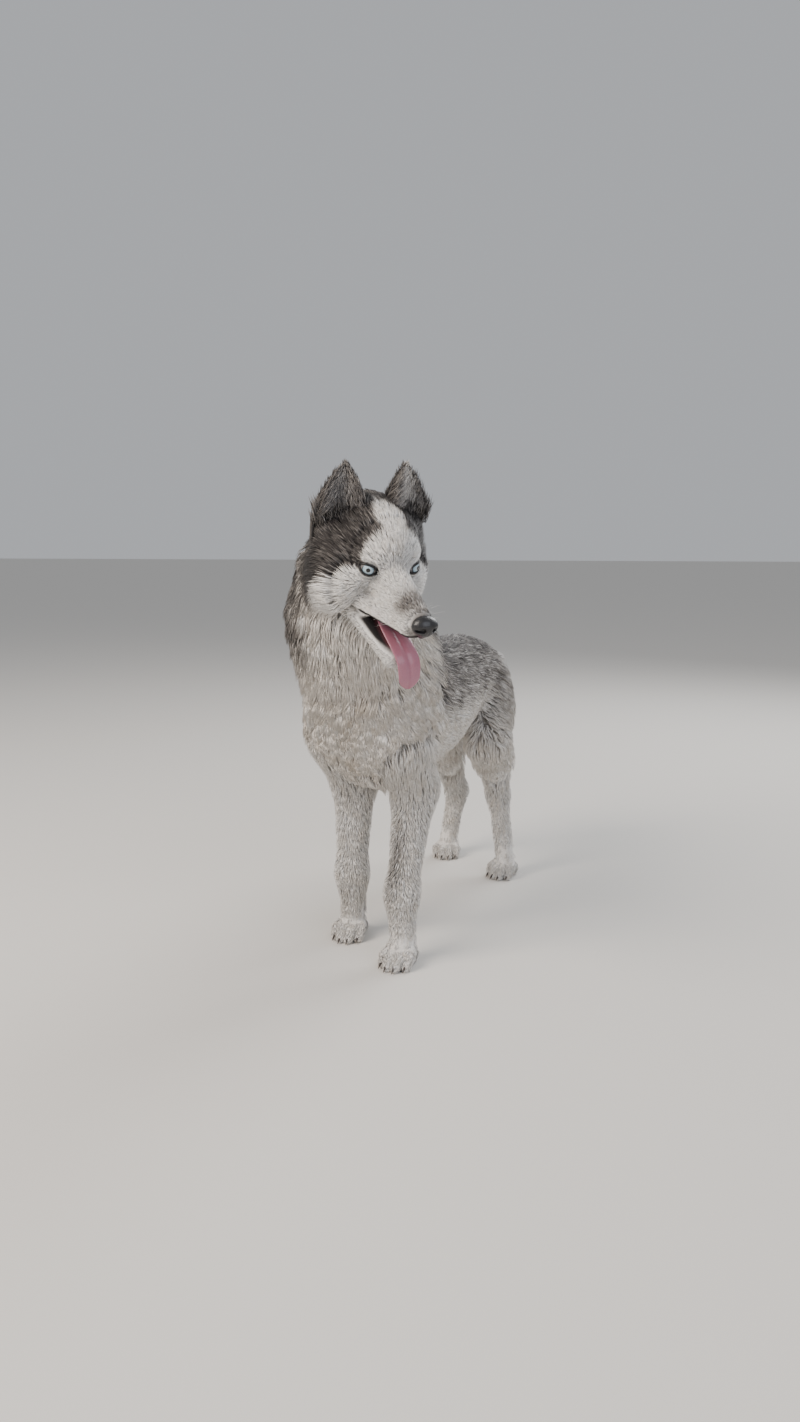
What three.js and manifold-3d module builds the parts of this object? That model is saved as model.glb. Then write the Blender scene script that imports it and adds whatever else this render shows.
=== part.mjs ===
// A life-size standing Siberian husky: four feet on the floor, the head turned to its left, the mouth open
// and the tongue out. Millimetres, +Z up. The dog faces -Y and its left side is +X.
import * as THREE from "three";
import { mergeVertices } from "three/addons/utils/BufferGeometryUtils.js";
import Module from "manifold-3d";

const wasm = await Module();
wasm.setup();
const V = (x, y, z) => new THREE.Vector3(x, y, z);

// Driving sizes
const jointGap = 0.3;
const soleSink = 2.5;
const skinColours = { white: 0xc9c6c4, grey: 0x8d8c92, dark: 0x3b3a41, tongue: 0xb0637a, black: 0x17171a };

// Sizes of the surface grids, by region
const grid = { torso: 31, neck: 27, head: 15.5, jaw: 10, nose: 4.6, tail: 22, leg: 20, paw: 12.2 };

// Depth of the coat over the flesh, by region
const coat = {
  trunk: 16,
  belly: 12,
  neck: 30,
  thigh: 16,
  leg: 6,
  foot: 4,
  tail: 28,
  skull: 6,
  cheek: 15,
  muzzle: 2.5,
};

// Where the coat is long the body is a core part of the way out, and bent, tapered locks reach the tips
const coreShare = { neck: 0.45, tail: 0.45, cheek: 0.5, breech: 0.5 };

// The trunk's sections from the breast back to the rump, in flesh
const trunk = [
  { y: -312, top: 425, bottom: 322, halfWidth: 48 },
  { y: -262, top: 474, bottom: 285, halfWidth: 75 },
  { y: -170, top: 490, bottom: 278, halfWidth: 78 },
  { y: -60, top: 478, bottom: 288, halfWidth: 78 },
  { y: 50, top: 472, bottom: 318, halfWidth: 66 },
  { y: 140, top: 470, bottom: 338, halfWidth: 53 },
  { y: 205, top: 456, bottom: 348, halfWidth: 47 },
  { y: 258, top: 428, bottom: 356, halfWidth: 34 },
];

// Joints of the legs in the order hip or shoulder to toe. side is +1 on the dog's left.
const legs = {
  foreleg_left: { shoulder: V(56, -283, 348), elbow: V(57, -226, 270), wrist: V(56, -276, 112), foot: V(60, -286, 0) },
  foreleg_right: {
    shoulder: V(-56, -270, 348),
    elbow: V(-58, -203, 270),
    wrist: V(-60, -212, 112),
    foot: V(-62, -206, 0),
  },
  hindleg_left: { hip: V(32, 178, 392), knee: V(66, 116, 288), hock: V(52, 232, 158), foot: V(76, 205, 0) },
  hindleg_right: { hip: V(-32, 190, 392), knee: V(-64, 168, 284), hock: V(-62, 310, 140), foot: V(-76, 292, 0) },
};

const neck = {
  base: V(0, -218, 418),
  middle: V(-8, -310, 535),
  nape: V(14, -362, 612),
  baseRadius: 81,
  middleRadius: 68,
  napeRadius: 58,
};

const tailPath = [V(0, 250, 415), V(0, 306, 398), V(0, 348, 352), V(0, 358, 280), V(0, 362, 214)];
const tail = { rootRadius: 20, tipRadius: 9 };

// The head has its own frame: its origin lies midway between the eyes, x to the dog's left, y back and z up.
const head = { place: V(104, -430, 617), size: 1.2, yaw: 54, pitch: 25, roll: -2, jawOpening: 20 };
const eye = { radius: 9.6, place: V(27, 3, 0), outward: 28, upward: 4, halfWidth: 10.6, halfHeight: 5.4, slant: 13 };
const lidDepth = 2;
const ear = { base: V(40, 58, 25), lean: V(0.04, 0.2, 0.98), height: 68, halfWidth: 33, turn: 12, cup: 17, wall: 3.4 };
const earClearance = 0.8;
const nose = { place: V(0, -88, -26), radii: V(15.5, 11, 11.5) };
const jawPivot = V(0, 44, -26);

// Distance forms. Each takes a point and gives its distance from a surface, less than zero inside.
const degrees = THREE.MathUtils.degToRad;

function blend(a, b, reach) {
  const h = Math.max(reach - Math.abs(a - b), 0) / reach;
  return Math.min(a, b) - (h * h * reach) / 4;
}

function limb(from, to, fromRadius, toRadius) {
  const axis = to.clone().sub(from);
  const lengthSq = axis.lengthSq();
  const offset = V();
  return (p) => {
    offset.copy(p).sub(from);
    const t = THREE.MathUtils.clamp(offset.dot(axis) / lengthSq, 0, 1);
    offset.addScaledVector(axis, -t);
    return offset.length() - THREE.MathUtils.lerp(fromRadius, toRadius, t);
  };
}

function egg(centre, radii, turn = new THREE.Euler()) {
  const inverse = new THREE.Matrix4().makeRotationFromEuler(turn).invert();
  const q = V();
  return (p) => {
    q.copy(p).sub(centre).applyMatrix4(inverse).divide(radii);
    const k0 = q.length();
    const k1 = q.divide(radii).length();
    return k1 < 1e-9 ? -Math.min(radii.x, radii.y, radii.z) : (k0 * (k0 - 1)) / k1;
  };
}

function melded(reach, ...forms) {
  return (p) => {
    let d = forms[0](p);
    for (let i = 1; i < forms.length; i++) d = blend(d, forms[i](p), reach);
    return d;
  };
}

// A body of elliptical sections strung along y, each wrapped in the coat
function strung(sections, wrap) {
  const key = (name, y) => {
    let i = 1;
    while (i < sections.length - 1 && y > sections[i].y) i++;
    const [a, b] = [sections[i - 1], sections[i]];
    const before = sections[Math.max(i - 2, 0)];
    const after = sections[Math.min(i + 1, sections.length - 1)];
    const span = b.y - a.y;
    const t = THREE.MathUtils.clamp((y - a.y) / span, 0, 1);
    const slopeA = ((b[name] - before[name]) / (b.y - before.y)) * span;
    const slopeB = ((after[name] - a[name]) / (after.y - a.y)) * span;
    const t2 = t * t;
    const t3 = t2 * t;
    return (
      (2 * t3 - 3 * t2 + 1) * a[name] + (t3 - 2 * t2 + t) * slopeA + (3 * t2 - 2 * t3) * b[name] + (t3 - t2) * slopeB
    );
  };
  const [first, last] = [sections[0].y, sections[sections.length - 1].y];
  return (p) => {
    const y = THREE.MathUtils.clamp(p.y, first, last);
    const top = key("top", y) + wrap;
    const bottom = key("bottom", y) - coat.belly;
    const halfWidth = key("halfWidth", y) + wrap;
    const halfHeight = (top - bottom) / 2;
    const k = Math.hypot(p.x / halfWidth, (p.z - (top + bottom) / 2) / halfHeight);
    const across = (k - 1) * Math.min(halfWidth, halfHeight);
    const along = Math.abs(p.y - y);
    return along > 0 ? Math.hypot(Math.max(across, 0), along) : across;
  };
}

const headMatrix = new THREE.Matrix4()
  .makeTranslation(head.place)
  .multiply(new THREE.Matrix4().makeRotationZ(degrees(head.yaw)))
  .multiply(new THREE.Matrix4().makeRotationX(degrees(head.pitch)))
  .multiply(new THREE.Matrix4().makeRotationY(degrees(head.roll)))
  .multiply(new THREE.Matrix4().makeScale(head.size, head.size, head.size));
const toHead = headMatrix.clone().invert();
const fromHead = (x, y, z) => V(x, y, z).applyMatrix4(headMatrix);

const jawMatrix = new THREE.Matrix4()
  .makeTranslation(jawPivot)
  .multiply(new THREE.Matrix4().makeRotationX(degrees(head.jawOpening)))
  .multiply(new THREE.Matrix4().makeTranslation(jawPivot.clone().negate()));
const toJaw = jawMatrix.clone().invert();

const mirrored = (make) => [make(1), make(-1)];

// Head forms, in the head's frame
function upperHead(wrap) {
  const fur = (depth) => depth * wrap;
  const r = (x, y, z, depth) => V(x + fur(depth), y + fur(depth), z + fur(depth));
  const cranium = egg(V(0, 60, 10), r(47, 60, 44, coat.skull));
  const forehead = egg(V(0, 26, 18), r(32, 36, 27, coat.skull));
  const brows = mirrored((s) => egg(V(s * 20, 11, 13), r(13, 15, 10, coat.skull * 0.5)));
  const earRoots = mirrored((s) => egg(V(s * ear.base.x, ear.base.y + 4, ear.base.z - 8), r(22, 17, 14, coat.skull)));
  const cheekbones = mirrored((s) => limb(V(s * 33, 14, -14), V(s * 44, 52, -12), 14, 20 + fur(coat.cheek * 0.6)));
  const masseters = mirrored((s) => egg(V(s * 38, 44, -30), r(20, 32, 28, coat.cheek * coreShare.cheek)));
  const muzzleTop = limb(V(0, -6, -5), V(0, -76, -24), 14 + fur(coat.muzzle), 10.5 + fur(coat.muzzle));
  const muzzleBody = limb(V(0, 4, -20), V(0, -72, -32), 22 + fur(coat.muzzle), 14 + fur(coat.muzzle));
  const lips = mirrored((s) =>
    limb(V(s * 21, 4, -44), V(s * 9, -71, -38), 11 + fur(coat.muzzle), 8 + fur(coat.muzzle)),
  );
  return melded(
    14,
    cranium,
    forehead,
    ...brows,
    ...earRoots,
    ...cheekbones,
    ...masseters,
    melded(9, muzzleTop, muzzleBody, ...lips),
  );
}

function lowerJaw(wrap) {
  const fur = coat.muzzle * wrap;
  const floor = limb(V(0, 20, -54), V(0, -62, -54), 17 + fur, 10 + fur);
  const sides = mirrored((s) => limb(V(s * 24, 22, -50), V(s * 8, -66, -50), 12 + fur, 8 + fur));
  const form = melded(9, floor, ...sides);
  const q = V();
  return (p) => form(q.copy(p).applyMatrix4(toJaw));
}

// The whole body without the feet's toes, in the dog's frame
function wholeBody(wrap) {
  const fur = (depth) => depth * wrap;
  const trunkForm = strung(trunk, fur(coat.trunk));
  const breast = egg(V(0, -290, 392), V(66, 42, 78).addScalar(fur(coat.trunk)));
  const rump = egg(V(0, 214, 398), V(46, 46, 46).addScalar(fur(coat.trunk)));
  const forms = [trunkForm, breast, rump];
  for (const [name, leg] of Object.entries(legs)) {
    const side = Math.sign(leg.foot.x);
    if (name.startsWith("fore")) {
      const ankle = V(leg.foot.x, leg.foot.y + 4, 34);
      forms.push(
        egg(V(side * 52, leg.elbow.y + 18, 402), V(26, 56, 82).addScalar(fur(coat.trunk)), new THREE.Euler(0.3, 0, 0)),
        limb(leg.shoulder, leg.elbow, 36 + fur(coat.trunk * 0.8), 30 + fur(coat.trunk * 0.5)),
        limb(leg.elbow, leg.wrist, 28 + fur(coat.leg * 1.3), 19 + fur(coat.leg)),
        limb(leg.wrist, ankle, 19 + fur(coat.leg), 17.5 + fur(coat.foot)),
      );
    } else {
      const ankle = V(leg.foot.x, leg.foot.y + 4, 34);
      const calf = leg.knee.clone().lerp(leg.hock, 0.45).add(V(0, 10, 6));
      const ham = leg.hip.clone().lerp(leg.knee, 0.45).add(V(side * 7, 36, -14));
      forms.push(
        limb(leg.hip, leg.knee, 36 + fur(coat.thigh), 28 + fur(coat.thigh)),
        egg(ham, V(25, 42, 62).addScalar(fur(coat.thigh * 1.2 * coreShare.breech)), new THREE.Euler(-0.25, 0, 0)),
        limb(leg.knee, calf, 30 + fur(coat.thigh * 0.8), 27 + fur(coat.thigh * 0.7)),
        limb(calf, leg.hock, 26 + fur(coat.thigh * 0.7), 15 + fur(coat.leg)),
        limb(leg.hock, ankle, 15.5 + fur(coat.leg), 15.5 + fur(coat.foot)),
      );
    }
  }
  const body = melded(26, ...forms);
  const throat = melded(
    40,
    limb(V(0, -262, 452), V(0, -262, 400), 80 + fur(coat.trunk * 1.3), 82 + fur(coat.trunk)),
    limb(neck.base, neck.middle, neck.baseRadius + fur(coat.trunk), neck.middleRadius + fur(coat.neck * coreShare.neck)),
    limb(neck.middle, neck.nape, neck.middleRadius + fur(coat.neck * coreShare.neck), neck.napeRadius + fur(coat.neck * 0.85 * coreShare.neck)),
  );
  const skull = upperHead(wrap);
  const q = V();
  return (p) => {
    const trunkAndNeck = blend(body(p), throat(p), 46);
    q.copy(p).applyMatrix4(toHead);
    return blend(trunkAndNeck, skull(q) * head.size, 24);
  };
}

// A closed surface where a form is zero, as quads whose corners lie on it, inside a box
function surfaceOf(form, box, cell) {
  const size = box.getSize(V());
  const n = size.toArray().map((s) => Math.ceil(s / cell) + 1);
  const at = (i, j, k) => i + n[0] * (j + n[1] * k);
  const field = new Float64Array(n[0] * n[1] * n[2]);
  const p = V();
  for (let k = 0; k < n[2]; k++)
    for (let j = 0; j < n[1]; j++)
      for (let i = 0; i < n[0]; i++) {
        p.set(box.min.x + i * cell, box.min.y + j * cell, box.min.z + k * cell);
        const rim = i === 0 || j === 0 || k === 0 || i === n[0] - 1 || j === n[1] - 1 || k === n[2] - 1;
        field[at(i, j, k)] = rim ? cell : form(p);
      }
  const vertexOf = new Map();
  const positions = [];
  const corner = V();
  const gradient = V();
  const cubeEdges = [];
  for (let axis = 0; axis < 3; axis++)
    for (let c = 0; c < 8; c++) if (!(c & (1 << axis))) cubeEdges.push([c, c | (1 << axis)]);
  const cubeFaces = [];
  for (let axis = 0; axis < 3; axis++)
    for (const side of [0, 1 << axis])
      cubeFaces.push(cubeEdges.flatMap(([a, b], e) => ((a & (1 << axis)) === side && (b & (1 << axis)) === side ? [e] : [])));
  const valueAt = (i, j, k, c) => field[at(i + (c & 1), j + ((c >> 1) & 1), k + ((c >> 2) & 1))];
  // Crossed edges of a cell that lie on one loop of the surface. On a face crossed four times the inside
  // corners stay apart, in both cells that share it.
  const loopsOf = (values) => {
    const loop = cubeEdges.map((_, e) => e);
    const innerCorner = ([a, b]) => (values[a] < 0 ? a : b);
    const join = (e, f) => {
      const [from, to] = [loop[e], loop[f]];
      for (let m = 0; m < 12; m++) if (loop[m] === from) loop[m] = to;
    };
    for (const face of cubeFaces) {
      const crossed = face.filter((e) => values[cubeEdges[e][0]] < 0 !== values[cubeEdges[e][1]] < 0);
      for (const e of crossed)
        for (const f of crossed)
          if (e < f && (crossed.length === 2 || innerCorner(cubeEdges[e]) === innerCorner(cubeEdges[f]))) join(e, f);
    }
    return loop;
  };
  const cellVertex = (i, j, k, node, axis) => {
    const values = [0, 1, 2, 3, 4, 5, 6, 7].map((c) => valueAt(i, j, k, c));
    const loop = loopsOf(values);
    const start = node[0] - i + 2 * (node[1] - j) + 4 * (node[2] - k);
    const mine = loop[cubeEdges.findIndex(([a, b]) => a === start && b === (start | (1 << axis)))];
    const id = at(i, j, k) * 12 + mine;
    if (vertexOf.has(id)) return vertexOf.get(id);
    const sum = V(0, 0, 0);
    let crossings = 0;
    for (const [e, [a, b]] of cubeEdges.entries()) {
      if (loop[e] !== mine || values[a] < 0 === values[b] < 0) continue;
      const t = values[a] / (values[a] - values[b]);
      const bit = (c, d) => (c >> d) & 1;
      sum.add(corner.set(...[0, 1, 2].map((d) => bit(a, d) + (bit(b, d) - bit(a, d)) * t)));
      crossings++;
    }
    sum.divideScalar(crossings);
    const v = V(box.min.x + (i + sum.x) * cell, box.min.y + (j + sum.y) * cell, box.min.z + (k + sum.z) * cell);
    const inside = i > 0 && j > 0 && k > 0 && i < n[0] - 2 && j < n[1] - 2 && k < n[2] - 2;
    for (let step = 0; inside && step < 2; step++) {
      const d = form(v);
      const h = 0.5;
      gradient.set(
        form(corner.copy(v).setX(v.x + h)) - d,
        form(corner.copy(v).setY(v.y + h)) - d,
        form(corner.copy(v).setZ(v.z + h)) - d,
      );
      const slope = gradient.length() / h;
      if (slope > 0.2) v.addScaledVector(gradient.normalize(), THREE.MathUtils.clamp(-d / slope, -cell / 3, cell / 3));
      for (const [axis, low] of [["x", i], ["y", j], ["z", k]]) {
        const start = box.min[axis] + low * cell;
        v[axis] = THREE.MathUtils.clamp(v[axis], start + cell * 0.02, start + cell * 0.98);
      }
    }
    positions.push(v.x, v.y, v.z);
    vertexOf.set(id, positions.length / 3 - 1);
    return positions.length / 3 - 1;
  };
  const index = [];
  for (let k = 0; k < n[2] - 1; k++)
    for (let j = 0; j < n[1] - 1; j++)
      for (let i = 0; i < n[0] - 1; i++)
        for (let axis = 0; axis < 3; axis++) {
          const here = [i, j, k];
          const next = [i, j, k];
          next[axis]++;
          const va = field[at(...here)];
          const vb = field[at(...next)];
          if (va < 0 === vb < 0) continue;
          const [u, w] = [(axis + 1) % 3, (axis + 2) % 3];
          const ring = [[0, 0], [1, 0], [1, 1], [0, 1]].map(([a, b]) => {
            const c = [...here];
            c[u] -= a;
            c[w] -= b;
            return cellVertex(...c, here, axis);
          });
          if (va < 0) index.push(ring[0], ring[1], ring[2], ring[0], ring[2], ring[3]);
          else index.push(ring[0], ring[2], ring[1], ring[0], ring[3], ring[2]);
        }
  const geometry = new THREE.BufferGeometry();
  geometry.setAttribute("position", new THREE.Float32BufferAttribute(positions, 3));
  geometry.setIndex(index);
  return geometry;
}

// A three.js geometry as a solid, placed by a matrix
function solid(geometry, matrix) {
  const plain = geometry.clone();
  for (const name of Object.keys(plain.attributes)) if (name !== "position") plain.deleteAttribute(name);
  if (matrix) plain.applyMatrix4(matrix);
  const merged = mergeVertices(plain, 1e-4);
  const triVerts = new Uint32Array(merged.index.array);
  const build = () =>
    new wasm.Manifold(new wasm.Mesh({ numProp: 3, vertProperties: merged.attributes.position.array, triVerts }));
  const made = build();
  if (made.volume() >= 0) return made;
  for (let i = 0; i < triVerts.length; i += 3) [triVerts[i], triVerts[i + 1]] = [triVerts[i + 1], triVerts[i]];
  return build();
}

// The solid inside a form. The grid is nudged until its surface closes cleanly.
function solidOf(form, box, cell, matrix) {
  for (const nudge of [0, 0.31, 0.57, 0.83, 0.17, 0.43]) {
    const moved = box.clone();
    moved.min.addScalar(-nudge * cell);
    try {
      return solid(surfaceOf(form, moved, cell), matrix);
    } catch (error) {
      if (error.code !== "NotManifold") throw error;
    }
  }
  throw new Error("no grid gives a clean surface");
}

// The half of space behind a plane, as a large block: point on the plane, normal out of the block
const blockSize = 1400;
function halfSpace(point, normal) {
  const turn = new THREE.Quaternion().setFromUnitVectors(V(0, 0, 1), normal.clone().normalize());
  const centre = point.clone().addScaledVector(normal.clone().normalize(), -blockSize / 2);
  const matrix = new THREE.Matrix4().compose(centre, turn, V(1, 1, 1));
  return solid(new THREE.BoxGeometry(blockSize, blockSize, blockSize), matrix);
}
// Both sides of a thin cut
function cutAt(point, normal) {
  const unit = normal.clone().normalize();
  return {
    behind: halfSpace(point.clone().addScaledVector(unit, -jointGap / 2), unit),
    ahead: halfSpace(point.clone().addScaledVector(unit, jointGap / 2), unit.clone().negate()),
  };
}

function largest(made) {
  return made.decompose().reduce((a, b) => (b.volume() > a.volume() ? b : a));
}

const dog = new THREE.Group();
function addNode(name, made, colour, roughness = 0.9) {
  const kept = largest(made);
  const { vertProperties, triVerts } = kept.getMesh();
  const geometry = new THREE.BufferGeometry();
  geometry.setAttribute("position", new THREE.BufferAttribute(vertProperties, 3));
  geometry.setIndex(new THREE.BufferAttribute(triVerts, 1));
  geometry.computeVertexNormals();
  const mesh = new THREE.Mesh(geometry, new THREE.MeshStandardMaterial({ color: colour, roughness, metalness: 0 }));
  mesh.name = name;
  dog.add(mesh);
}

// Nose pad with its nostrils, in the head's frame
function nosePad() {
  const pad = melded(4, egg(nose.place, nose.radii), limb(V(0, -90, -30), V(0, -86, -38), 6, 4));
  const nostrils = mirrored((s) =>
    melded(2, egg(V(s * 7, -98, -27), V(3.6, 5, 3)), egg(V(s * 11.5, -94, -28.5), V(4, 4, 1.8))),
  );
  return (p) => Math.max(pad(p), ...nostrils.map((hole) => -hole(p)));
}

// A closed skin over rings of points, each end closed by a fan
function loft(rings) {
  const count = rings[0].length;
  const positions = [];
  for (const ring of rings) for (const p of ring) positions.push(p.x, p.y, p.z);
  const index = [];
  for (let r = 0; r < rings.length - 1; r++)
    for (let i = 0; i < count; i++) {
      const [a, b] = [r * count + i, r * count + ((i + 1) % count)];
      index.push(a, b, b + count, a, b + count, a + count);
    }
  for (const end of [0, rings.length - 1]) {
    const centre = rings[end].reduce((sum, p) => sum.add(p), V(0, 0, 0)).divideScalar(count);
    positions.push(centre.x, centre.y, centre.z);
    const c = positions.length / 3 - 1;
    for (let i = 0; i < count; i++) {
      const [a, b] = [end * count + i, end * count + ((i + 1) % count)];
      if (end === 0) index.push(c, b, a);
      else index.push(c, a, b);
    }
  }
  const geometry = new THREE.BufferGeometry();
  geometry.setAttribute("position", new THREE.Float32BufferAttribute(positions, 3));
  geometry.setIndex(index);
  return geometry;
}

// Rings of a flattened body along a path: at(t) gives half width and half height, wide lies across it
function along(path, stations, sides, wide, at) {
  const curve = new THREE.CatmullRomCurve3(path);
  const rings = [];
  for (let r = 0; r <= stations; r++) {
    const t = r / stations;
    const tangent = curve.getTangentAt(t);
    const across = wide.clone().addScaledVector(tangent, -wide.dot(tangent)).normalize();
    const up = tangent.clone().cross(across).negate();
    const [halfWidth, halfHeight] = at(t);
    const centre = curve.getPointAt(t);
    rings.push(
      Array.from({ length: sides }, (_, i) => {
        const angle = (2 * Math.PI * i) / sides;
        return centre
          .clone()
          .addScaledVector(across, halfWidth * Math.cos(angle))
          .addScaledVector(up, -halfHeight * Math.sin(angle));
      }),
    );
  }
  return rings;
}

// An upright cupped ear in the head's frame, its opening turned forward and a little outward
function earShell(s, grow = 0) {
  const axis = ear.lean.clone().setX(s * ear.lean.x).normalize();
  const across = V(1, 0, 0).applyAxisAngle(V(0, 0, 1), degrees(s * ear.turn));
  across.addScaledVector(axis, -across.dot(axis)).normalize();
  const back = axis.clone().cross(across);
  const steps = 8;
  const rings = [];
  for (let r = 0; r <= 7; r++) {
    const v = r / 7;
    const rise = -16 + (ear.height + 16) * Math.sin((v * Math.PI) / 2);
    const share = Math.max(rise / ear.height, 0);
    const halfWidth = ear.halfWidth * Math.pow(1 - Math.pow(Math.min(share, 0.985), 1.55), 0.8) + 1;
    const cup = ear.cup * Math.pow(1 - Math.min(share, 0.99), 0.75) + 1;
    const wall = ear.wall * (1 - 0.5 * share);
    const base = ear.base.clone().setX(s * ear.base.x).addScaledVector(axis, rise);
    base.addScaledVector(across, -s * 5 * share * share);
    const point = (u, depth, spread) =>
      base
        .clone()
        .addScaledVector(across, u * halfWidth + Math.sign(u) * spread)
        .addScaledVector(back, cup * (1 - u * u) + depth);
    const ring = [];
    for (let i = 0; i <= steps; i++) {
      const u = (2 * i) / steps - 1;
      ring.push(point(u, wall * (1 - 0.5 * u * u) + grow, grow));
    }
    for (let i = steps; i >= 0; i--) {
      const u = (2 * i) / steps - 1;
      ring.push(point(u * 0.97, -wall * (1 - 0.5 * u * u) - grow, Math.abs(u) > 0.9 ? grow : -grow));
    }
    rings.push(ring);
  }
  return loft(rings);
}

// The opening between the lids, a lens-shaped prism along the eye's axis
function eyeAxis(s) {
  const turn = new THREE.Matrix4()
    .makeTranslation(s * eye.place.x, eye.place.y, eye.place.z)
    .multiply(new THREE.Matrix4().makeRotationZ(degrees(s * eye.outward)))
    .multiply(new THREE.Matrix4().makeRotationX(degrees(-eye.upward)))
    .multiply(new THREE.Matrix4().makeRotationY(degrees(-s * eye.slant)));
  return headMatrix.clone().multiply(turn);
}
function fissure() {
  const sides = 16;
  const rings = [-4, -34].map((y) =>
    Array.from({ length: sides }, (_, i) => {
      const angle = (2 * Math.PI * i) / sides;
      const x = Math.cos(angle);
      const z = Math.sign(Math.sin(angle)) * Math.pow(Math.abs(Math.sin(angle)), 1.35);
      return V(x * eye.halfWidth * (y < -10 ? 1.35 : 1), y, z * eye.halfHeight * (y < -10 ? 1.35 : 1));
    }),
  );
  return loft(rings);
}

// A paw with four toes and their claws, pointing along turn
function paw(foot, turn, length) {
  const matrix = new THREE.Matrix4().makeTranslation(foot.x, foot.y, 0);
  matrix.multiply(new THREE.Matrix4().makeRotationZ(degrees(turn)));
  const inverse = matrix.clone().invert();
  const toes = [-1.5, -0.5, 0.5, 1.5].map((i) => {
    const inner = Math.abs(i) < 1;
    const tipY = -length * (inner ? 0.56 : 0.4);
    return melded(
      5,
      limb(V(i * 11, -2, 26), V(i * 13, tipY * 0.62, 21), 10, 10),
      limb(V(i * 13, tipY * 0.62, 21), V(i * 13.5, tipY, 8), 10, 8.5),
    );
  });
  const palm = egg(V(0, 10, 14), V(23, 27, 18));
  const form = melded(3, melded(8, palm, limb(V(0, 2, 30), V(0, 4, 64), 21, 20)), ...toes);
  const q = V();
  const claws = [-1.5, -0.5, 0.5, 1.5].map((i) => {
    const y = -length * (Math.abs(i) < 1 ? 0.56 : 0.4);
    const path = [V(i * 13.5, y, 11), V(i * 13.7, y - 10, 8.5), V(i * 13.9, y - 15, 3.5)];
    const rings = along(path, 3, 6, V(1, 0, 0), (t) => [2.6 * (1 - 0.75 * t), 3 * (1 - 0.75 * t)]);
    return solid(loft(rings), matrix);
  });
  return { form: (p) => form(q.copy(p).applyMatrix4(inverse)), claws };
}

// Small repeatable random numbers
function randomFrom(seed) {
  let state = seed >>> 0;
  return () => {
    state = (state * 1664525 + 1013904223) >>> 0;
    return state / 4294967296;
  };
}

// Where a ray coming in towards a point first meets a form, and which way the form faces there
function surfaceHit(form, centre, direction, far = 260) {
  const p = centre.clone().addScaledVector(direction, far);
  for (let step = 0; step < 90; step++) {
    const d = form(p);
    if (d < 0.15) break;
    p.addScaledVector(direction, -Math.min(d * 0.8, 20));
  }
  const d = form(p);
  const h = 1;
  const q = V();
  const normal = V(
    form(q.copy(p).setX(p.x + h)) - d,
    form(q.copy(p).setY(p.y + h)) - d,
    form(q.copy(p).setZ(p.z + h)) - d,
  ).normalize();
  return { point: p, normal };
}

// A flat, tapered, bent lock rooted in a surface. lie runs along the coat, reach is how far its tip stands off.
function lockOf(hit, lie, length, halfWidth, reach, bend) {
  const { point, normal } = hit;
  const along0 = lie.clone().addScaledVector(normal, -lie.dot(normal)).normalize();
  const across = along0.clone().cross(normal).normalize();
  const sink = 9;
  const at = (t) =>
    point
      .clone()
      .addScaledVector(normal, -sink * (1 - Math.min(t * 4, 1)) + reach * Math.sin(Math.min(t * 1.25, 1) * 1.5))
      .addScaledVector(along0, length * (t - 0.12))
      .addScaledVector(across, bend * t * t);
  const rings = [0, 0.28, 0.62, 0.94].map((t) => {
    const tangent = at(t + 0.02).sub(at(t - 0.02)).normalize();
    const side = across.clone().addScaledVector(tangent, -across.dot(tangent)).normalize();
    const up = tangent.clone().cross(side).normalize();
    const wide = halfWidth * [0.8, 1, 0.72, 0.14][Math.round(t * 3.2)];
    const thick = wide * 0.42;
    const centre = at(t);
    return [
      centre.clone().addScaledVector(side, wide),
      centre.clone().addScaledVector(up, thick),
      centre.clone().addScaledVector(side, -wide),
      centre.clone().addScaledVector(up, -thick),
    ];
  });
  return solid(loft(rings));
}

const upper = wholeBody(1);
const jaw = lowerJaw(1);
const inHead = V();
const coated = (p) => blend(upper(p), jaw(inHead.copy(p).applyMatrix4(toHead)) * head.size, 9);

// Locks of the ruff, in rows down the neck, and of the chest below it
const random = randomFrom(41);
const spread = (low, high) => low + (high - low) * random();
const ruffLocks = [];
const ruffRows = [
  { t: 0.08, count: 7, from: 60, to: 300 },
  { t: 0.3, count: 8, from: 30, to: 330 },
  { t: 0.54, count: 9, from: 10, to: 350 },
  { t: 0.78, count: 8, from: 0, to: 340 },
];
const neckAxis = new THREE.CatmullRomCurve3([neck.nape, neck.middle, V(0, -268, 462)]);
for (const [row, { t, count, from, to }] of ruffRows.entries()) {
  const centre = neckAxis.getPointAt(t);
  const down = neckAxis.getTangentAt(t);
  const side = V(1, 0, 0).addScaledVector(down, -down.x).normalize();
  const front = side.clone().cross(down).normalize();
  for (let i = 0; i < count; i++) {
    const angle = degrees(from + ((to - from) * (i + 0.5 * (row % 2))) / count + spread(-6, 6));
    const outward = side.clone().multiplyScalar(Math.sin(angle)).addScaledVector(front, -Math.cos(angle));
    const hit = surfaceHit(coated, centre, outward);
    const lie = down.clone().add(V(0, 0, -0.25)).addScaledVector(side, spread(-0.2, 0.2));
    ruffLocks.push(lockOf(hit, lie, spread(62, 84), spread(12, 17), spread(12, 18), spread(-9, 9)));
  }
}
const chestLocks = [];
for (let i = 0; i < 12; i++) {
  const level = 455 - 34 * Math.floor(i / 4);
  const angle = degrees(-57 + 38 * (i % 4) + 19 * (Math.floor(i / 4) % 2) + spread(-5, 5));
  const hit = surfaceHit(coated, V(0, -262, level), V(Math.sin(angle), -Math.cos(angle), 0));
  chestLocks.push(lockOf(hit, V(spread(-0.2, 0.2), 0.15, -1), spread(52, 68), spread(11, 15), spread(4, 8), spread(-8, 8)));
}
const cheekLocks = [];
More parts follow.
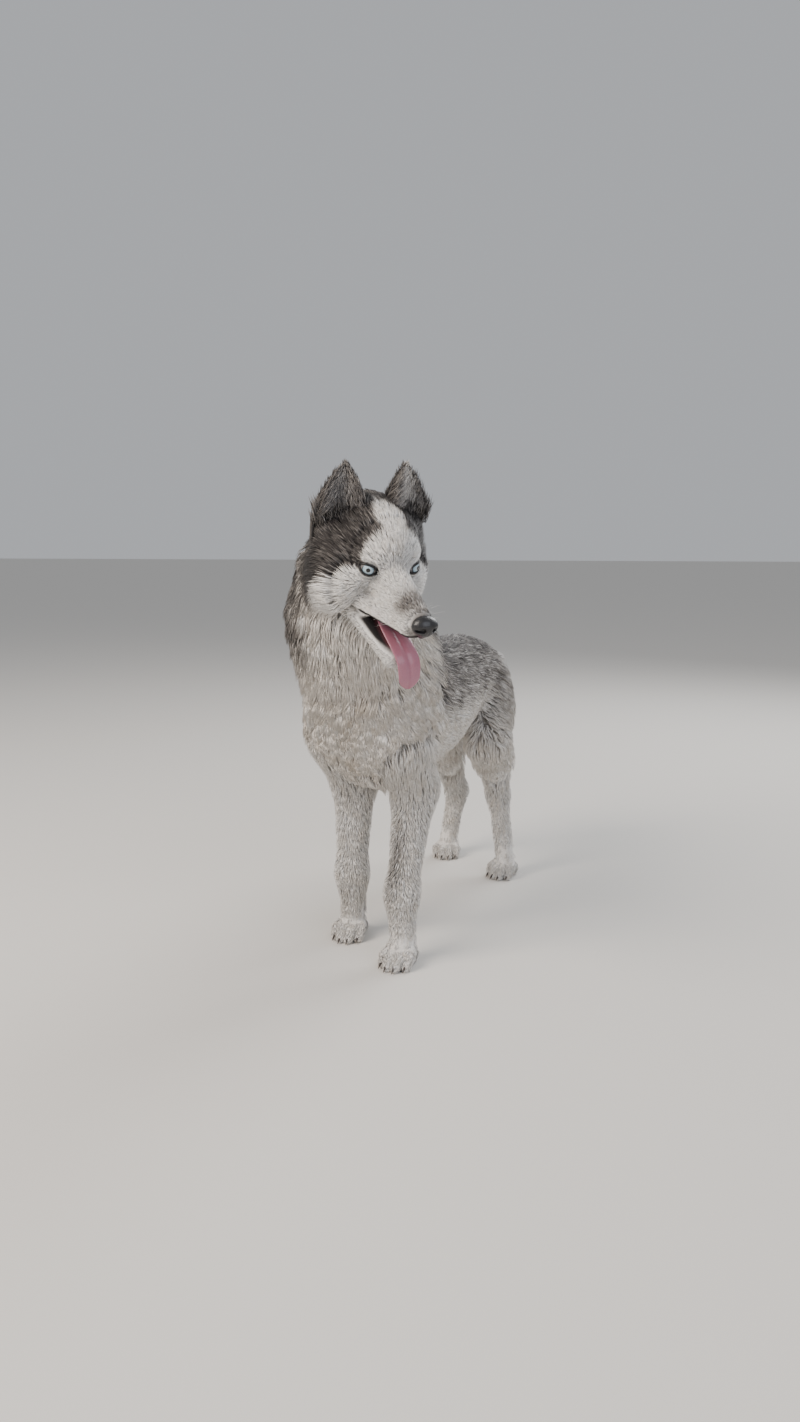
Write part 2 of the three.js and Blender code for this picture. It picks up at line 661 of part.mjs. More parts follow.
for (const s of [1, -1])
  for (const [y, z] of [[40, 4], [34, -20], [26, -42], [58, -8], [52, -34]]) {
    const centre = fromHead(s * 12, y, z);
    const hit = surfaceHit(coated, centre, V(s, 0.12, -0.1).transformDirection(headMatrix), 120);
    const lie = V(s * 0.2, 0.75, -0.65).transformDirection(headMatrix);
    cheekLocks.push(lockOf(hit, lie, spread(36, 46), spread(8, 11), spread(6, 9), spread(-4, 4)));
  }
const breechLocks = { left: [], right: [] };
for (const [name, s] of [["left", 1], ["right", -1]]) {
  const leg = legs[`hindleg_${name}`];
  for (let i = 0; i < 8; i++) {
    const level = 380 - 34 * Math.floor(i / 2);
    const t = (392 - level) / 104;
    const angle = degrees(s * (14 + 44 * (i % 2)) + spread(-6, 6));
    const centre = leg.hip.clone().lerp(leg.knee, Math.min(t, 1)).setZ(level).add(V(0, 12, 0));
    const hit = surfaceHit(coated, centre, V(Math.sin(angle), Math.cos(angle), 0), 150);
    const lie = V(s * 0.1, 0.45, -0.9);
    breechLocks[name].push(lockOf(hit, lie, spread(46, 60), spread(9, 12), spread(7, 11), spread(-5, 5)));
  }
}
const box = (x0, y0, z0, x1, y1, z1) => new THREE.Box3(V(x0, y0, z0), V(x1, y1, z1));

// An oriented block: inside it a part is kept, outside it the rest is kept, the gap between
function region(centre, size, matrix = new THREE.Matrix4()) {
  const make = (grow) =>
    solid(
      new THREE.BoxGeometry(size.x + grow, size.y + grow, size.z + grow),
      matrix.clone().multiply(new THREE.Matrix4().makeTranslation(centre)),
    );
  return { inside: make(-jointGap), outside: make(jointGap) };
}
const spanBlock = (min, max, matrix) => region(min.clone().add(max).multiplyScalar(0.5), max.clone().sub(min), matrix);

const paws = {
  forepaw_left: paw(legs.foreleg_left.foot, -3, 68),
  forepaw_right: paw(legs.foreleg_right.foot, 4, 68),
  hindpaw_left: paw(legs.hindleg_left.foot, -10, 64),
  hindpaw_right: paw(legs.hindleg_right.foot, 12, 64),
};
const floorCut = halfSpace(V(0, 0, soleSink), V(0, 0, -1));

// Regions of the cuts
const headSpan = spanBlock(V(-160, -220, -112), V(160, 86, 220), headMatrix);
const neckCut = cutAt(V(0, -188, 502), V(0, -0.44, 0.9));
const jawTurn = jawPivot.clone().add(V(0, 0, -18));
const jawSpan = spanBlock(
  V(-60, -130, -80),
  V(60, -56, 0),
  headMatrix
    .clone()
    .multiply(new THREE.Matrix4().makeTranslation(jawTurn))
    .multiply(new THREE.Matrix4().makeRotationX(Math.atan(0.22))),
);
const noseCut = cutAt(
  nose.place.clone().add(V(0, 1.5, 0)).applyMatrix4(headMatrix),
  V(0, -1, 0.1).transformDirection(headMatrix),
);

const sideOf = { left: 1, right: -1 };
const legSpans = {};
for (const [name, s] of Object.entries(sideOf)) {
  const [x0, x1] = s > 0 ? [1, 160] : [-160, -1];
  legSpans[`foreleg_${name}`] = spanBlock(V(x0, -400, -60), V(x1, -110, 262));
  legSpans[`hindleg_${name}`] = spanBlock(V(x0, 70, -60), V(x1, 420, 306));
}

const fused = (base, locks) => locks.reduce((all, lock) => all.add(lock), base);

// Trunk and neck
let torso = solidOf(coated, box(-130, -380, 220, 130, 330, 560), grid.torso);
torso = fused(torso, [...ruffLocks.slice(-17), ...chestLocks, ...breechLocks.left, ...breechLocks.right]);
torso = torso.intersect(neckCut.behind);
for (const [min, max] of [
  [V(-160, -400, -60), V(160, -110, 262)],
  [V(-160, 70, -60), V(160, 420, 306)],
])
  torso = torso.subtract(spanBlock(min, max).outside);
let throat = solidOf(coated, box(-160, -520, 380, 190, -150, 720), grid.neck);
throat = fused(throat, [...ruffLocks, ...cheekLocks, ...chestLocks.slice(0, 4)]).intersect(neckCut.ahead);
throat = throat.subtract(headSpan.outside);

// Head with its sockets, the stubs of the ears and the back of the nose
const headBox = new THREE.Box3().setFromPoints(
  [-90, 90].flatMap((x) => [-118, 112].flatMap((y) => [-125, 90].map((z) => fromHead(x, y, z)))),
);
let skull = fused(solidOf(coated, headBox, grid.head), cheekLocks).intersect(headSpan.inside).subtract(jawSpan.outside);
const jawMesh = solidOf(coated, headBox, grid.jaw).intersect(jawSpan.inside);
const padMesh = solidOf(nosePad(), box(-24, -108, -48, 24, -70, -8), grid.nose, headMatrix);
skull = skull.intersect(noseCut.behind).add(padMesh.intersect(noseCut.behind));

const eyeballs = {};
const ears = {};
for (const [name, s] of Object.entries(sideOf)) {
  const axis = eyeAxis(s);
  const ball = (radius, w, h) => solid(new THREE.SphereGeometry(radius, w, h), axis);
  skull = skull.add(ball(eye.radius + lidDepth, 14, 10)).subtract(solid(fissure(), axis));
  skull = skull.subtract(ball(eye.radius + jointGap, 14, 10));
  eyeballs[name] = ball(eye.radius, 14, 10);
  const shell = solid(earShell(s), headMatrix);
  const earAxis = ear.lean.clone().setX(s * ear.lean.x).transformDirection(headMatrix);
  const stubTop = ear.base.clone().setX(s * ear.base.x).addScaledVector(ear.lean.clone().setX(s * ear.lean.x), 14);
  const earCut = cutAt(stubTop.applyMatrix4(headMatrix), earAxis);
  ears[name] = shell.intersect(earCut.ahead);
  skull = skull.subtract(solid(earShell(s, earClearance), headMatrix).subtract(earCut.behind));
  skull = skull.add(shell.intersect(earCut.behind));
}

// Tongue, lying on the jaw and hanging over its front
const tonguePath = [V(0, -6, -38), V(0, -34, -37), V(1, -60, -36), V(4, -78, -41), V(6, -90, -54), V(7, -97, -68)];
const tongueMade = (grow) =>
  solid(
    loft(
      along(
        tonguePath.map((p) => p.clone().applyMatrix4(jawMatrix)),
        8,
        8,
        V(1, 0, 0),
        (t) => [15 * Math.pow(Math.sin(Math.PI * Math.min(0.16 + t * 0.8, 0.97)), 0.42) + grow, 3.6 - t + grow],
      ),
    ),
    headMatrix,
  );

const baseCut = cutAt(V(0, 290, 403), V(0, 0.86, -0.45));
const tailForm = melded(
  20,
  ...tailPath.slice(1).map((p, i) => {
    const radius = (t) => THREE.MathUtils.lerp(tail.rootRadius, tail.tipRadius, t) + coat.tail * coreShare.tail * [0.9, 0.95, 1, 0.9, 0.3][Math.round(t * 4)];
    return limb(tailPath[i], p, radius(i / 4), radius((i + 1) / 4));
  }),
);
const tailBox = box(-70, 190, 160, 70, 430, 470);
const tailMesh = solidOf(tailForm, tailBox, grid.tail);
const tailRoom = solidOf((p) => tailForm(p) - 1.2, tailBox, grid.tail);
const tailLocks = [];
const tailAxis = new THREE.CatmullRomCurve3(tailPath);
for (let row = 0; row < 5; row++)
  for (let i = 0; i < 4; i++) {
    const t = 0.32 + 0.145 * row;
    const angle = degrees(90 * (i + 0.5 * (row % 2)) + spread(-10, 10));
    const down = tailAxis.getTangentAt(t);
    const side = V(1, 0, 0);
    const back = side.clone().cross(down).normalize();
    const outward = side.clone().multiplyScalar(Math.cos(angle)).addScaledVector(back, Math.sin(angle));
    const hit = surfaceHit(tailForm, tailAxis.getPointAt(t), outward, 80);
    tailLocks.push(lockOf(hit, down, spread(60, 76), spread(13, 17), spread(9, 13), spread(-8, 8)));
  }
torso = torso.subtract(tailRoom.subtract(baseCut.behind));
torso = torso.add(tailMesh.intersect(baseCut.behind).intersect(halfSpace(V(0, 240, 0), V(0, -1, 0))));

const legBoxes = {
  foreleg_left: box(10, -340, -10, 110, -150, 290),
  foreleg_right: box(-110, -330, -10, -10, -130, 290),
  hindleg_left: box(8, 40, -10, 130, 300, 340),
  hindleg_right: box(-130, 90, -10, -8, 380, 340),
};
const upperLegs = {};
const pawMeshes = {};
const shanks = {};
for (const [name, leg] of Object.entries(legs)) {
  const side = name.split("_")[1];
  const whole = solidOf(coated, legBoxes[name], grid.leg).intersect(legSpans[name].inside);
  const pawName = name.startsWith("fore") ? `forepaw_${side}` : `hindpaw_${side}`;
  const each = paws[pawName];
  const ankleCut = cutAt(V(0, 0, 50), V(0, 0, 1));
  const around = box(leg.foot.x - 44, leg.foot.y - 62, -14, leg.foot.x + 44, leg.foot.y + 60, 84);
  const footForm = (p) => blend(coated(p), each.form(p), 10);
  let made = solidOf(footForm, around, grid.paw);
  for (const claw of each.claws) made = made.add(claw);
  pawMeshes[pawName] = made.intersect(ankleCut.behind).intersect(floorCut);
  if (name.startsWith("fore")) {
    upperLegs[name] = whole.intersect(ankleCut.ahead);
  } else {
    const furred = fused(whole, breechLocks[side]).intersect(legSpans[name].inside);
    const kneeCut = cutAt(leg.knee.clone().lerp(leg.hock, 0.3), V(0, -0.62, 0.78));
    upperLegs[`thigh_${side}`] = furred.intersect(kneeCut.ahead);
    shanks[`shank_${side}`] = furred.intersect(kneeCut.behind).intersect(ankleCut.ahead);
  }
}

const torsoRoom = solidOf((p) => coated(p) - 1.5, box(-130, 150, 220, 130, 330, 560), grid.torso);
addNode("torso", torso, skinColours.grey);
addNode("neck", throat, skinColours.grey);
addNode("tail", fused(tailMesh, tailLocks).intersect(baseCut.ahead).subtract(torsoRoom), skinColours.grey);
addNode("nose", padMesh.intersect(noseCut.ahead), skinColours.black, 0.4);
addNode("lower_jaw", jawMesh.subtract(tongueMade(jointGap)), skinColours.white);
skull = skull.subtract(tongueMade(jointGap)).intersect(headSpan.inside);
addNode("head", skull, skinColours.white);
addNode("tongue", tongueMade(0), skinColours.tongue, 0.35);
for (const name of Object.keys(sideOf)) {
  addNode(`eye_${name}`, eyeballs[name], 0x9fc4dd, 0.1);
  addNode(`ear_${name}`, ears[name], skinColours.dark);
}
for (const [name, made] of Object.entries(upperLegs)) addNode(name, made, skinColours.white);
for (const [name, made] of Object.entries(shanks)) addNode(name, made, skinColours.white);
for (const [name, made] of Object.entries(pawMeshes)) addNode(name, made, skinColours.white);

// The origin lies under the middle of the dog's bounds, on the floor
const bounds = new THREE.Box3().setFromObject(dog);
const middle = bounds.getCenter(V());
for (const mesh of dog.children) mesh.geometry.translate(-middle.x, -middle.y, -bounds.min.z);

export default dog;
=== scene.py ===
# A life-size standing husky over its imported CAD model: one skin, solid tufts of fur that follow the lie of the
# coat, ears, eyes with dark rims, wet nose, tongue, claws and whiskers. Sizes are in millimetres in the dog's own
# frame (it faces -Y, its left is +X) until a mesh is made, which moves them to the frame's metres.
import math

import bpy
import numpy as np
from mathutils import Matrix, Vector, kdtree


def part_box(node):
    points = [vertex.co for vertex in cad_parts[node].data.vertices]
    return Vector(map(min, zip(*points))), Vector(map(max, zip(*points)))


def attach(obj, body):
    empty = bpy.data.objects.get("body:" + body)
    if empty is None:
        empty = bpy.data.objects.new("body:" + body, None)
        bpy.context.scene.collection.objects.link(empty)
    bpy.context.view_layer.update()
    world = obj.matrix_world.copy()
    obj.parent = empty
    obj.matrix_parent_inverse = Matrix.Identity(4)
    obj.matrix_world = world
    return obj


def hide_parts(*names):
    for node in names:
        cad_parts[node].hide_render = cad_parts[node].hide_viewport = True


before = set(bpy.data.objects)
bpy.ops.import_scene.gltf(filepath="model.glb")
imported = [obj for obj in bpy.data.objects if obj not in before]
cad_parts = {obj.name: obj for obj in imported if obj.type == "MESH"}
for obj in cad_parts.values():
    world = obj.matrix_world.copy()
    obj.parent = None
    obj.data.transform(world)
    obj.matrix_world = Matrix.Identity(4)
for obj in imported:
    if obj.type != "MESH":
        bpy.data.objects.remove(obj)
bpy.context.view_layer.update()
random = np.random.default_rng(7)
print("frame loaded")

# Depth of the coat over the flesh, by region
coat = {
    "trunk": 16,
    "belly": 12,
    "neck": 30,
    "thigh": 16,
    "leg": 6,
    "foot": 4,
    "tail": 28,
    "skull": 6,
    "cheek": 15,
    "muzzle": 2.5,
}

# The trunk's sections from the breast back to the rump, in flesh
trunk = {
    "y": [-312, -262, -170, -60, 50, 140, 205, 258],
    "top": [425, 474, 490, 478, 472, 470, 456, 428],
    "bottom": [322, 285, 278, 288, 318, 338, 348, 356],
    "halfWidth": [48, 75, 78, 78, 66, 53, 47, 34],
}

# Joints of the legs in order from the body down
foreLegs = {
    "left": {"shoulder": (56, -283, 348), "elbow": (57, -226, 270), "wrist": (56, -276, 112), "foot": (60, -286, 0)},
    "right": {
        "shoulder": (-56, -270, 348),
        "elbow": (-58, -203, 270),
        "wrist": (-60, -212, 112),
        "foot": (-62, -206, 0),
    },
}
hindLegs = {
    "left": {"hip": (32, 178, 392), "knee": (66, 116, 288), "hock": (52, 232, 158), "foot": (76, 205, 0)},
    "right": {"hip": (-32, 190, 392), "knee": (-64, 168, 284), "hock": (-62, 310, 140), "foot": (-76, 292, 0)},
}
sideOf = {"left": 1, "right": -1}

neck = {
    "base": (0, -218, 418),
    "middle": (-8, -310, 535),
    "nape": (14, -362, 612),
    "baseRadius": 81,
    "middleRadius": 68,
    "napeRadius": 58,
}
tail = {
    "path": [(0, 250, 415), (0, 306, 398), (0, 348, 352), (0, 358, 280), (0, 362, 214)],
    "rootRadius": 20,
    "tipRadius": 9,
    "fullness": [0.9, 0.95, 1, 0.9, 0.3],
}

# The head has its own frame: its origin lies midway between the eyes, x to the dog's left, y back and z up
head = {"place": (104, -430, 617), "size": 1.2, "yaw": 54, "pitch": 25, "roll": -2, "jawOpening": 20}
jawPivot = (0, 44, -26)
eye = {
    "radius": 9.6,
    "place": (27, 3, 0),
    "outward": 28,
    "upward": 4,
    "halfWidth": 10.6,
    "halfHeight": 5.4,
    "slant": 13,
    "roundness": 1.48,
}
lidDepth = 2
lidPlane = 4
socketGap = 0.3
ear = {
    "base": (40, 58, 25),
    "lean": (0.04, 0.2, 0.98),
    "height": 68,
    "halfWidth": 33,
    "turn": 12,
    "cup": 17,
    "wall": 3.4,
}
nose = {"place": (0, -88, -26), "radii": (15.5, 11, 11.5)}
soleLevel = 2.6

# Forms of the head in its own frame. An egg is its centre and radii, a limb its two ends and their radii.
headForms = {
    "skull": ((0, 60, 10), (47, 60, 44)),
    "forehead": ((0, 26, 18), (32, 36, 27)),
    "brow": ((20, 11, 13), (13, 15, 10)),
    "earRoot": ((40, 62, 17), (23, 17, 21)),
    "cheekbone": ((33, 14, -14), (44, 52, -12), 14, 20),
    "jowl": ((38, 44, -30), (20, 32, 28)),
    "bridge": ((0, -6, -5), (0, -76, -24), 14, 10.5),
    "snout": ((0, 4, -20), (0, -72, -32), 22, 14),
    "lip": ((21, 4, -44), (9, -71, -38), 11, 8),
    "chin": ((0, 20, -54), (0, -62, -54), 17, 10),
    "jawSide": ((24, 22, -50), (8, -66, -50), 12, 8),
}
muzzleForms = (("bridge", 1), ("snout", 1), ("lip", 1), ("lip", -1))

# Forms of the body. The blade of the shoulder is placed from the elbow, and the ham from the middle of the thigh.
bodyForms = {
    "rump": ((0, 214, 398), (46, 46, 46)),
    "breast": ((0, -290, 392), (66, 42, 78)),
    "brisket": ((0, -262, 452), (0, -262, 400), 80, 82),
    "blade": ((52, 18, 402), (26, 56, 82)),
    "ham": ((7, 36, -14), (25, 42, 62)),
}
tilts = {"blade": 0.3, "ham": -0.25}
legRadii = {
    "upperArm": (36, 30),
    "forearm": (28, 19),
    "frontPastern": (19, 17.5),
    "thigh": (36, 28),
    "calf": (30, 27),
    "shin": (26, 15),
    "hindPastern": (15.5, 15.5),
}
ankleOffset = (0, 4, 34)
calfOffset = (0, 10, 6)
halfWay = 0.45

# How softly forms run into each other
blend = {
    "legs": 26,
    "front": 40,
    "tailBones": 20,
    "skull": 14,
    "head": 24,
    "jaw": 9,
    "tail": 12,
    "paws": 10,
    "palm": 8,
    "toe": 5,
    "toes": 3,
}
regionNames = ["trunk", "chest", "forelegs", "thighs", "shanks", "neck", "tail", "head", "jaw", "paws"]


def array(values):
    return np.array(values, dtype=float)


def turned(axis, degrees):
    angle = math.radians(degrees)
    matrix = np.eye(4)
    i, j = [(1, 2), (2, 0), (0, 1)][axis]
    matrix[i, i] = matrix[j, j] = math.cos(angle)
    matrix[i, j] = -math.sin(angle)
    matrix[j, i] = math.sin(angle)
    return matrix


def moved(place):
    matrix = np.eye(4)
    matrix[:3, 3] = place
    return matrix


def placed(matrix, points):
    # points is an array of three rows, one column a point
    matrix = matrix.astype(points.dtype)
    return matrix[:3, :3] @ points + matrix[:3, 3:]


def turnedOnly(matrix, directions):
    return unit(matrix[:3, :3].astype(directions.dtype) @ directions)


def unit(directions):
    return directions / np.maximum(np.sqrt((directions**2).sum(axis=0)), 1e-9)


def smoothStep(low, high, value):
    t = np.clip((value - low) / (high - low), 0, 1)
    return t * t * (3 - 2 * t)


headFrame = moved(head["place"]) @ turned(2, head["yaw"]) @ turned(0, head["pitch"]) @ turned(1, head["roll"])
headFrame = headFrame @ np.diag([head["size"]] * 3 + [1])
toHead = np.linalg.inv(headFrame)
jawFrame = moved(jawPivot) @ turned(0, head["jawOpening"]) @ moved(-array(jawPivot))
toJaw = np.linalg.inv(jawFrame)


def eyeFrame(s):
    x, y, z = eye["place"]
    outward = moved((s * x, y, z)) @ turned(2, s * eye["outward"])
    return outward @ turned(0, -eye["upward"]) @ turned(1, -s * eye["slant"])


# The dog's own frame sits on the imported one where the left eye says
eyeLow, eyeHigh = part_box("eye_left")
eyeCentre = (headFrame @ eyeFrame(1))[:3, 3]
shift = (array(eyeLow) + array(eyeHigh)) / 2 * 1000 - eyeCentre


# Distance forms over arrays of points: less than zero inside, growing outward
def melded(reach, first, *others):
    total = first
    for other in others:
        spread = np.maximum(reach - np.abs(total - other), 0) / reach
        total = np.minimum(total, other) - spread * spread * (reach / 4)
    return total


def limb(p, start, end, startRadius, endRadius):
    axis = [float(b - a) for a, b in zip(start, end)]
    offset = [p[i] - float(start[i]) for i in range(3)]
    t = np.clip(sum(o * a for o, a in zip(offset, axis)) / sum(a * a for a in axis), 0, 1)
    gap = np.sqrt(sum((o - t * a) ** 2 for o, a in zip(offset, axis)))
    return gap - (startRadius + (endRadius - startRadius) * t)


def egg(p, centre, radii, grow=0, tilt=0):
    radii = [r + grow for r in radii]
    x, y, z = [p[i] - float(centre[i]) for i in range(3)]
    if tilt:
        y, z = y * math.cos(tilt) + z * math.sin(tilt), z * math.cos(tilt) - y * math.sin(tilt)
    near = np.sqrt((x / radii[0]) ** 2 + (y / radii[1]) ** 2 + (z / radii[2]) ** 2)
    far = np.sqrt((x / radii[0] ** 2) ** 2 + (y / radii[1] ** 2) ** 2 + (z / radii[2] ** 2) ** 2)
    return near * (near - 1) / np.maximum(far, 1e-6)


def smoothly(at, keys, values):
    # a smooth curve through the values
    keys, values = array(keys), array(values)
    i = np.clip(np.searchsorted(keys, at), 1, len(keys) - 1)
    before, after = np.maximum(i - 2, 0), np.minimum(i + 1, len(keys) - 1)
    span = keys[i] - keys[i - 1]
    t = np.clip((at - keys[i - 1]) / span, 0, 1)
    startSlope = (values[i] - values[before]) / (keys[i] - keys[before]) * span
    endSlope = (values[after] - values[i - 1]) / (keys[after] - keys[i - 1]) * span
    curve = (2 * t**3 - 3 * t**2 + 1) * values[i - 1] + (t**3 - 2 * t**2 + t) * startSlope
    return (curve + (3 * t**2 - 2 * t**3) * values[i] + (t**3 - t**2) * endSlope).astype(at.dtype)


def trunkForm(p, wrap):
    y = np.clip(p[1], trunk["y"][0], trunk["y"][-1])
    top = smoothly(y, trunk["y"], trunk["top"]) + coat["trunk"] * wrap
    bottom = smoothly(y, trunk["y"], trunk["bottom"]) - coat["belly"] * wrap
    halfWidth = smoothly(y, trunk["y"], trunk["halfWidth"]) + coat["trunk"] * wrap
    halfHeight = (top - bottom) / 2
    across = np.hypot(p[0] / halfWidth, (p[2] - (top + bottom) / 2) / halfHeight) - 1
    across = across * np.minimum(halfWidth, halfHeight)
    beyond = np.abs(p[1] - y)
    return np.where(beyond > 0, np.hypot(np.maximum(across, 0), beyond), across)


def headEgg(q, name, s, fur):
    (x, y, z), radii = headForms[name]
    return egg(q, (s * x, y, z), radii, fur)


def headLimb(q, name, s, startFur, endFur):
    start, end, startRadius, endRadius = headForms[name]
    start, end = [(s * x, y, z) for x, y, z in (start, end)]
    return limb(q, start, end, startRadius + startFur, endRadius + endFur)


def upperHead(q, wrap):
    # in the head's frame
    skull, cheek, muzzle = [coat[name] * wrap for name in ("skull", "cheek", "muzzle")]
    forms = [headEgg(q, "skull", 1, skull), headEgg(q, "forehead", 1, skull)]
    for s in (1, -1):
        forms.append(headEgg(q, "brow", s, skull / 2))
        forms.append(headEgg(q, "earRoot", s, skull))
        forms.append(headLimb(q, "cheekbone", s, 0, cheek * 0.6))
        forms.append(headEgg(q, "jowl", s, cheek))
    front = [headLimb(q, name, s, muzzle, muzzle) for name, s in muzzleForms]
    return melded(blend["skull"], *forms, melded(blend["jaw"], *front))


def lowerJaw(q, wrap):
    # in the head's frame
    r = placed(toJaw, q)
    fur = coat["muzzle"] * wrap
    sides = [headLimb(r, "jawSide", s, fur, fur) for s in (1, -1)]
    return melded(blend["jaw"], headLimb(r, "chin", 1, fur, fur), *sides)


paws = [
    {"foot": foreLegs["left"]["foot"], "turn": -3, "length": 68},
    {"foot": foreLegs["right"]["foot"], "turn": 4, "length": 68},
    {"foot": hindLegs["left"]["foot"], "turn": -10, "length": 64},
    {"foot": hindLegs["right"]["foot"], "turn": 12, "length": 64},
]
# Toes by their places from the middle of the paw. The inner two reach further forward.
toePlaces = (-1.5, -0.5, 0.5, 1.5)
toeReach = {"inner": 0.56, "outer": 0.4, "knuckle": 0.62}
toeSpacing = {"root": 11, "knuckle": 13, "tip": 13.5}


def pawFrame(each):
    return moved((each["foot"][0], each["foot"][1], 0)) @ turned(2, each["turn"])


def toeTip(i, length):
    return -length * (toeReach["inner"] if abs(i) < 1 else toeReach["outer"])


def pawForm(p, each, wrap):
    q = placed(np.linalg.inv(pawFrame(each)), p)
    toes = []
    for i in toePlaces:
        tip = toeTip(i, each["length"])
        knuckle = (i * toeSpacing["knuckle"], tip * toeReach["knuckle"], 21)
        upper = limb(q, (i * toeSpacing["root"], -2, 26), knuckle, 10, 10)
        toes.append(melded(blend["toe"], upper, limb(q, knuckle, (i * toeSpacing["tip"], tip, 8), 10, 8.5)))
    palm = melded(blend["palm"], egg(q, (0, 10, 14), (23, 27, 18)), limb(q, (0, 2, 28), (0, 4, 50), 20, 14))
    return melded(blend["toes"], palm, *toes) + coat["foot"] * 0.75 * (1 - wrap)


# Forms of the head and the paws are worked out only this near to them
farAway = 900.0
headReach = 230
eyesReach = 70
pawHeight = 100


def whereNear(p, mask, form):
    # a form worked out only where it can matter
    distance = np.full(p.shape[1], farAway, dtype=p.dtype)
    if mask.any():
        distance[mask] = form(p[:, mask])
    return distance


def fromHead(p):
    return ((p - array(head["place"])[:, None].astype(p.dtype)) ** 2).sum(axis=0)


def bodyParts(p, wrap):
    # the distance from each region of the body, wrap 0 for the flesh and 1 for the tips of the coat
    furs = [coat[name] * wrap for name in ("trunk", "thigh", "leg", "foot", "neck", "tail")]
    trunkFur, thighFur, legFur, footFur, neckFur, tailFur = furs
    legs = blend["legs"]

    def bone(name, start, end, startFur, endFur):
        startRadius, endRadius = legRadii[name]
        return limb(p, start, end, startRadius + startFur, endRadius + endFur)

    parts = {"trunk": melded(legs, trunkForm(p, wrap), egg(p, *bodyForms["rump"], trunkFur))}
    top, bottom, topRadius, bottomRadius = bodyForms["brisket"]
    brisket = limb(p, top, bottom, topRadius + trunkFur * 1.3, bottomRadius + trunkFur)
    parts["chest"] = melded(legs, egg(p, *bodyForms["breast"], trunkFur), brisket)
    foreForms, shankForms, thighForms = [], [], []
    (bladeX, bladeBack, bladeZ), bladeRadii = bodyForms["blade"]
    for side, leg in foreLegs.items():
        ankle = array(leg["foot"]) + ankleOffset
        bladeAt = (sideOf[side] * bladeX, leg["elbow"][1] + bladeBack, bladeZ)
        blade = egg(p, bladeAt, bladeRadii, trunkFur, tilt=tilts["blade"])
        parts["trunk"] = melded(legs, parts["trunk"], blade)
        foreForms.append(bone("upperArm", leg["shoulder"], leg["elbow"], trunkFur * 0.8, trunkFur * 0.5))
        foreForms.append(bone("forearm", leg["elbow"], leg["wrist"], legFur * 1.3, legFur))
        foreForms.append(bone("frontPastern", leg["wrist"], ankle, legFur, footFur))
    (hamX, hamY, hamZ), hamRadii = bodyForms["ham"]
    for side, leg in hindLegs.items():
        hip, knee, hock, foot = [array(leg[name]) for name in ("hip", "knee", "hock", "foot")]
        calf = knee + (hock - knee) * halfWay + calfOffset
        ham = hip + (knee - hip) * halfWay + (sideOf[side] * hamX, hamY, hamZ)
        thighForms.append(bone("thigh", hip, knee, thighFur, thighFur))
        thighForms.append(egg(p, ham, hamRadii, thighFur * 1.2, tilt=tilts["ham"]))
        thighForms.append(bone("calf", knee, calf, thighFur * 0.8, thighFur * 0.7))
        shankForms.append(bone("shin", calf, hock, thighFur * 0.7, legFur))
        shankForms.append(bone("hindPastern", hock, foot + ankleOffset, legFur, footFur))
    parts["forelegs"] = melded(legs, *foreForms)
    parts["thighs"] = melded(legs, *thighForms)
    parts["shanks"] = melded(legs, *shankForms)
    radii = neck["baseRadius"] + trunkFur, neck["middleRadius"] + neckFur, neck["napeRadius"] + neckFur * 0.85
    lower = limb(p, neck["base"], neck["middle"], *radii[:2])
    parts["neck"] = melded(blend["front"], lower, limb(p, neck["middle"], neck["nape"], *radii[1:]))
    taper = tail["tipRadius"] - tail["rootRadius"]
    radii = [tail["rootRadius"] + taper * k / 4 + tailFur * fullness for k, fullness in enumerate(tail["fullness"])]
    bones = [limb(p, *tail["path"][i : i + 2], *radii[i : i + 2]) for i in range(4)]
    parts["tail"] = melded(blend["tailBones"], *bones)
    nearHead = fromHead(p) < headReach**2
    parts["head"] = whereNear(p, nearHead, lambda near: upperHead(placed(toHead, near), wrap) * head["size"])
    parts["jaw"] = whereNear(p, nearHead, lambda near: lowerJaw(placed(toHead, near), wrap) * head["size"])
    parts["paws"] = whereNear(
        p, p[2] < pawHeight, lambda near: np.minimum.reduce([pawForm(near, each, wrap) for each in paws])
    )
    return parts


def joined(parts):
    legs = melded(blend["legs"], *[parts[name] for name in ("trunk", "forelegs", "thighs", "shanks")])
    body = melded(blend["front"], legs, melded(blend["front"], parts["chest"], parts["neck"]))
    body = melded(blend["jaw"], melded(blend["head"], body, parts["head"]), parts["jaw"])
    return melded(blend["paws"], melded(blend["tail"], body, parts["tail"]), parts["paws"])


def lidOpening(q, s):
    # how far a point of the head's frame lies outside the opening between the lids
    x, y, z = placed(np.linalg.inv(eyeFrame(s)), q)
    flare = 1 + 0.35 * np.clip((-y - lidPlane) / 30, 0, 1)
    across, upright = x / (eye["halfWidth"] * flare), z / (eye["halfHeight"] * flare)
    lens = np.sqrt(across**2 + np.abs(upright) ** eye["roundness"])
    return np.maximum((lens - 1) * eye["halfHeight"], y + lidPlane)


def withSockets(distance, p):
    near = fromHead(p) < eyesReach**2
    if not near.any():
        return distance
    q = placed(toHead, p[:, near])
    d = distance[near] / head["size"]
    for s in (1, -1):
        fromCentre = np.sqrt(((q - eyeFrame(s)[:3, 3:].astype(q.dtype)) ** 2).sum(axis=0))
        d = melded(3, d, fromCentre - eye["radius"] - lidDepth)
        d = np.maximum(d, -lidOpening(q, s))
        d = np.maximum(d, eye["radius"] + socketGap - fromCentre)
    distance[near] = d * head["size"]
    return distance


def flesh(p):
    return np.maximum(withSockets(joined(bodyParts(p, 0)), p), soleLevel - p[2])


def furTips(p):
    return joined(bodyParts(p, 1))


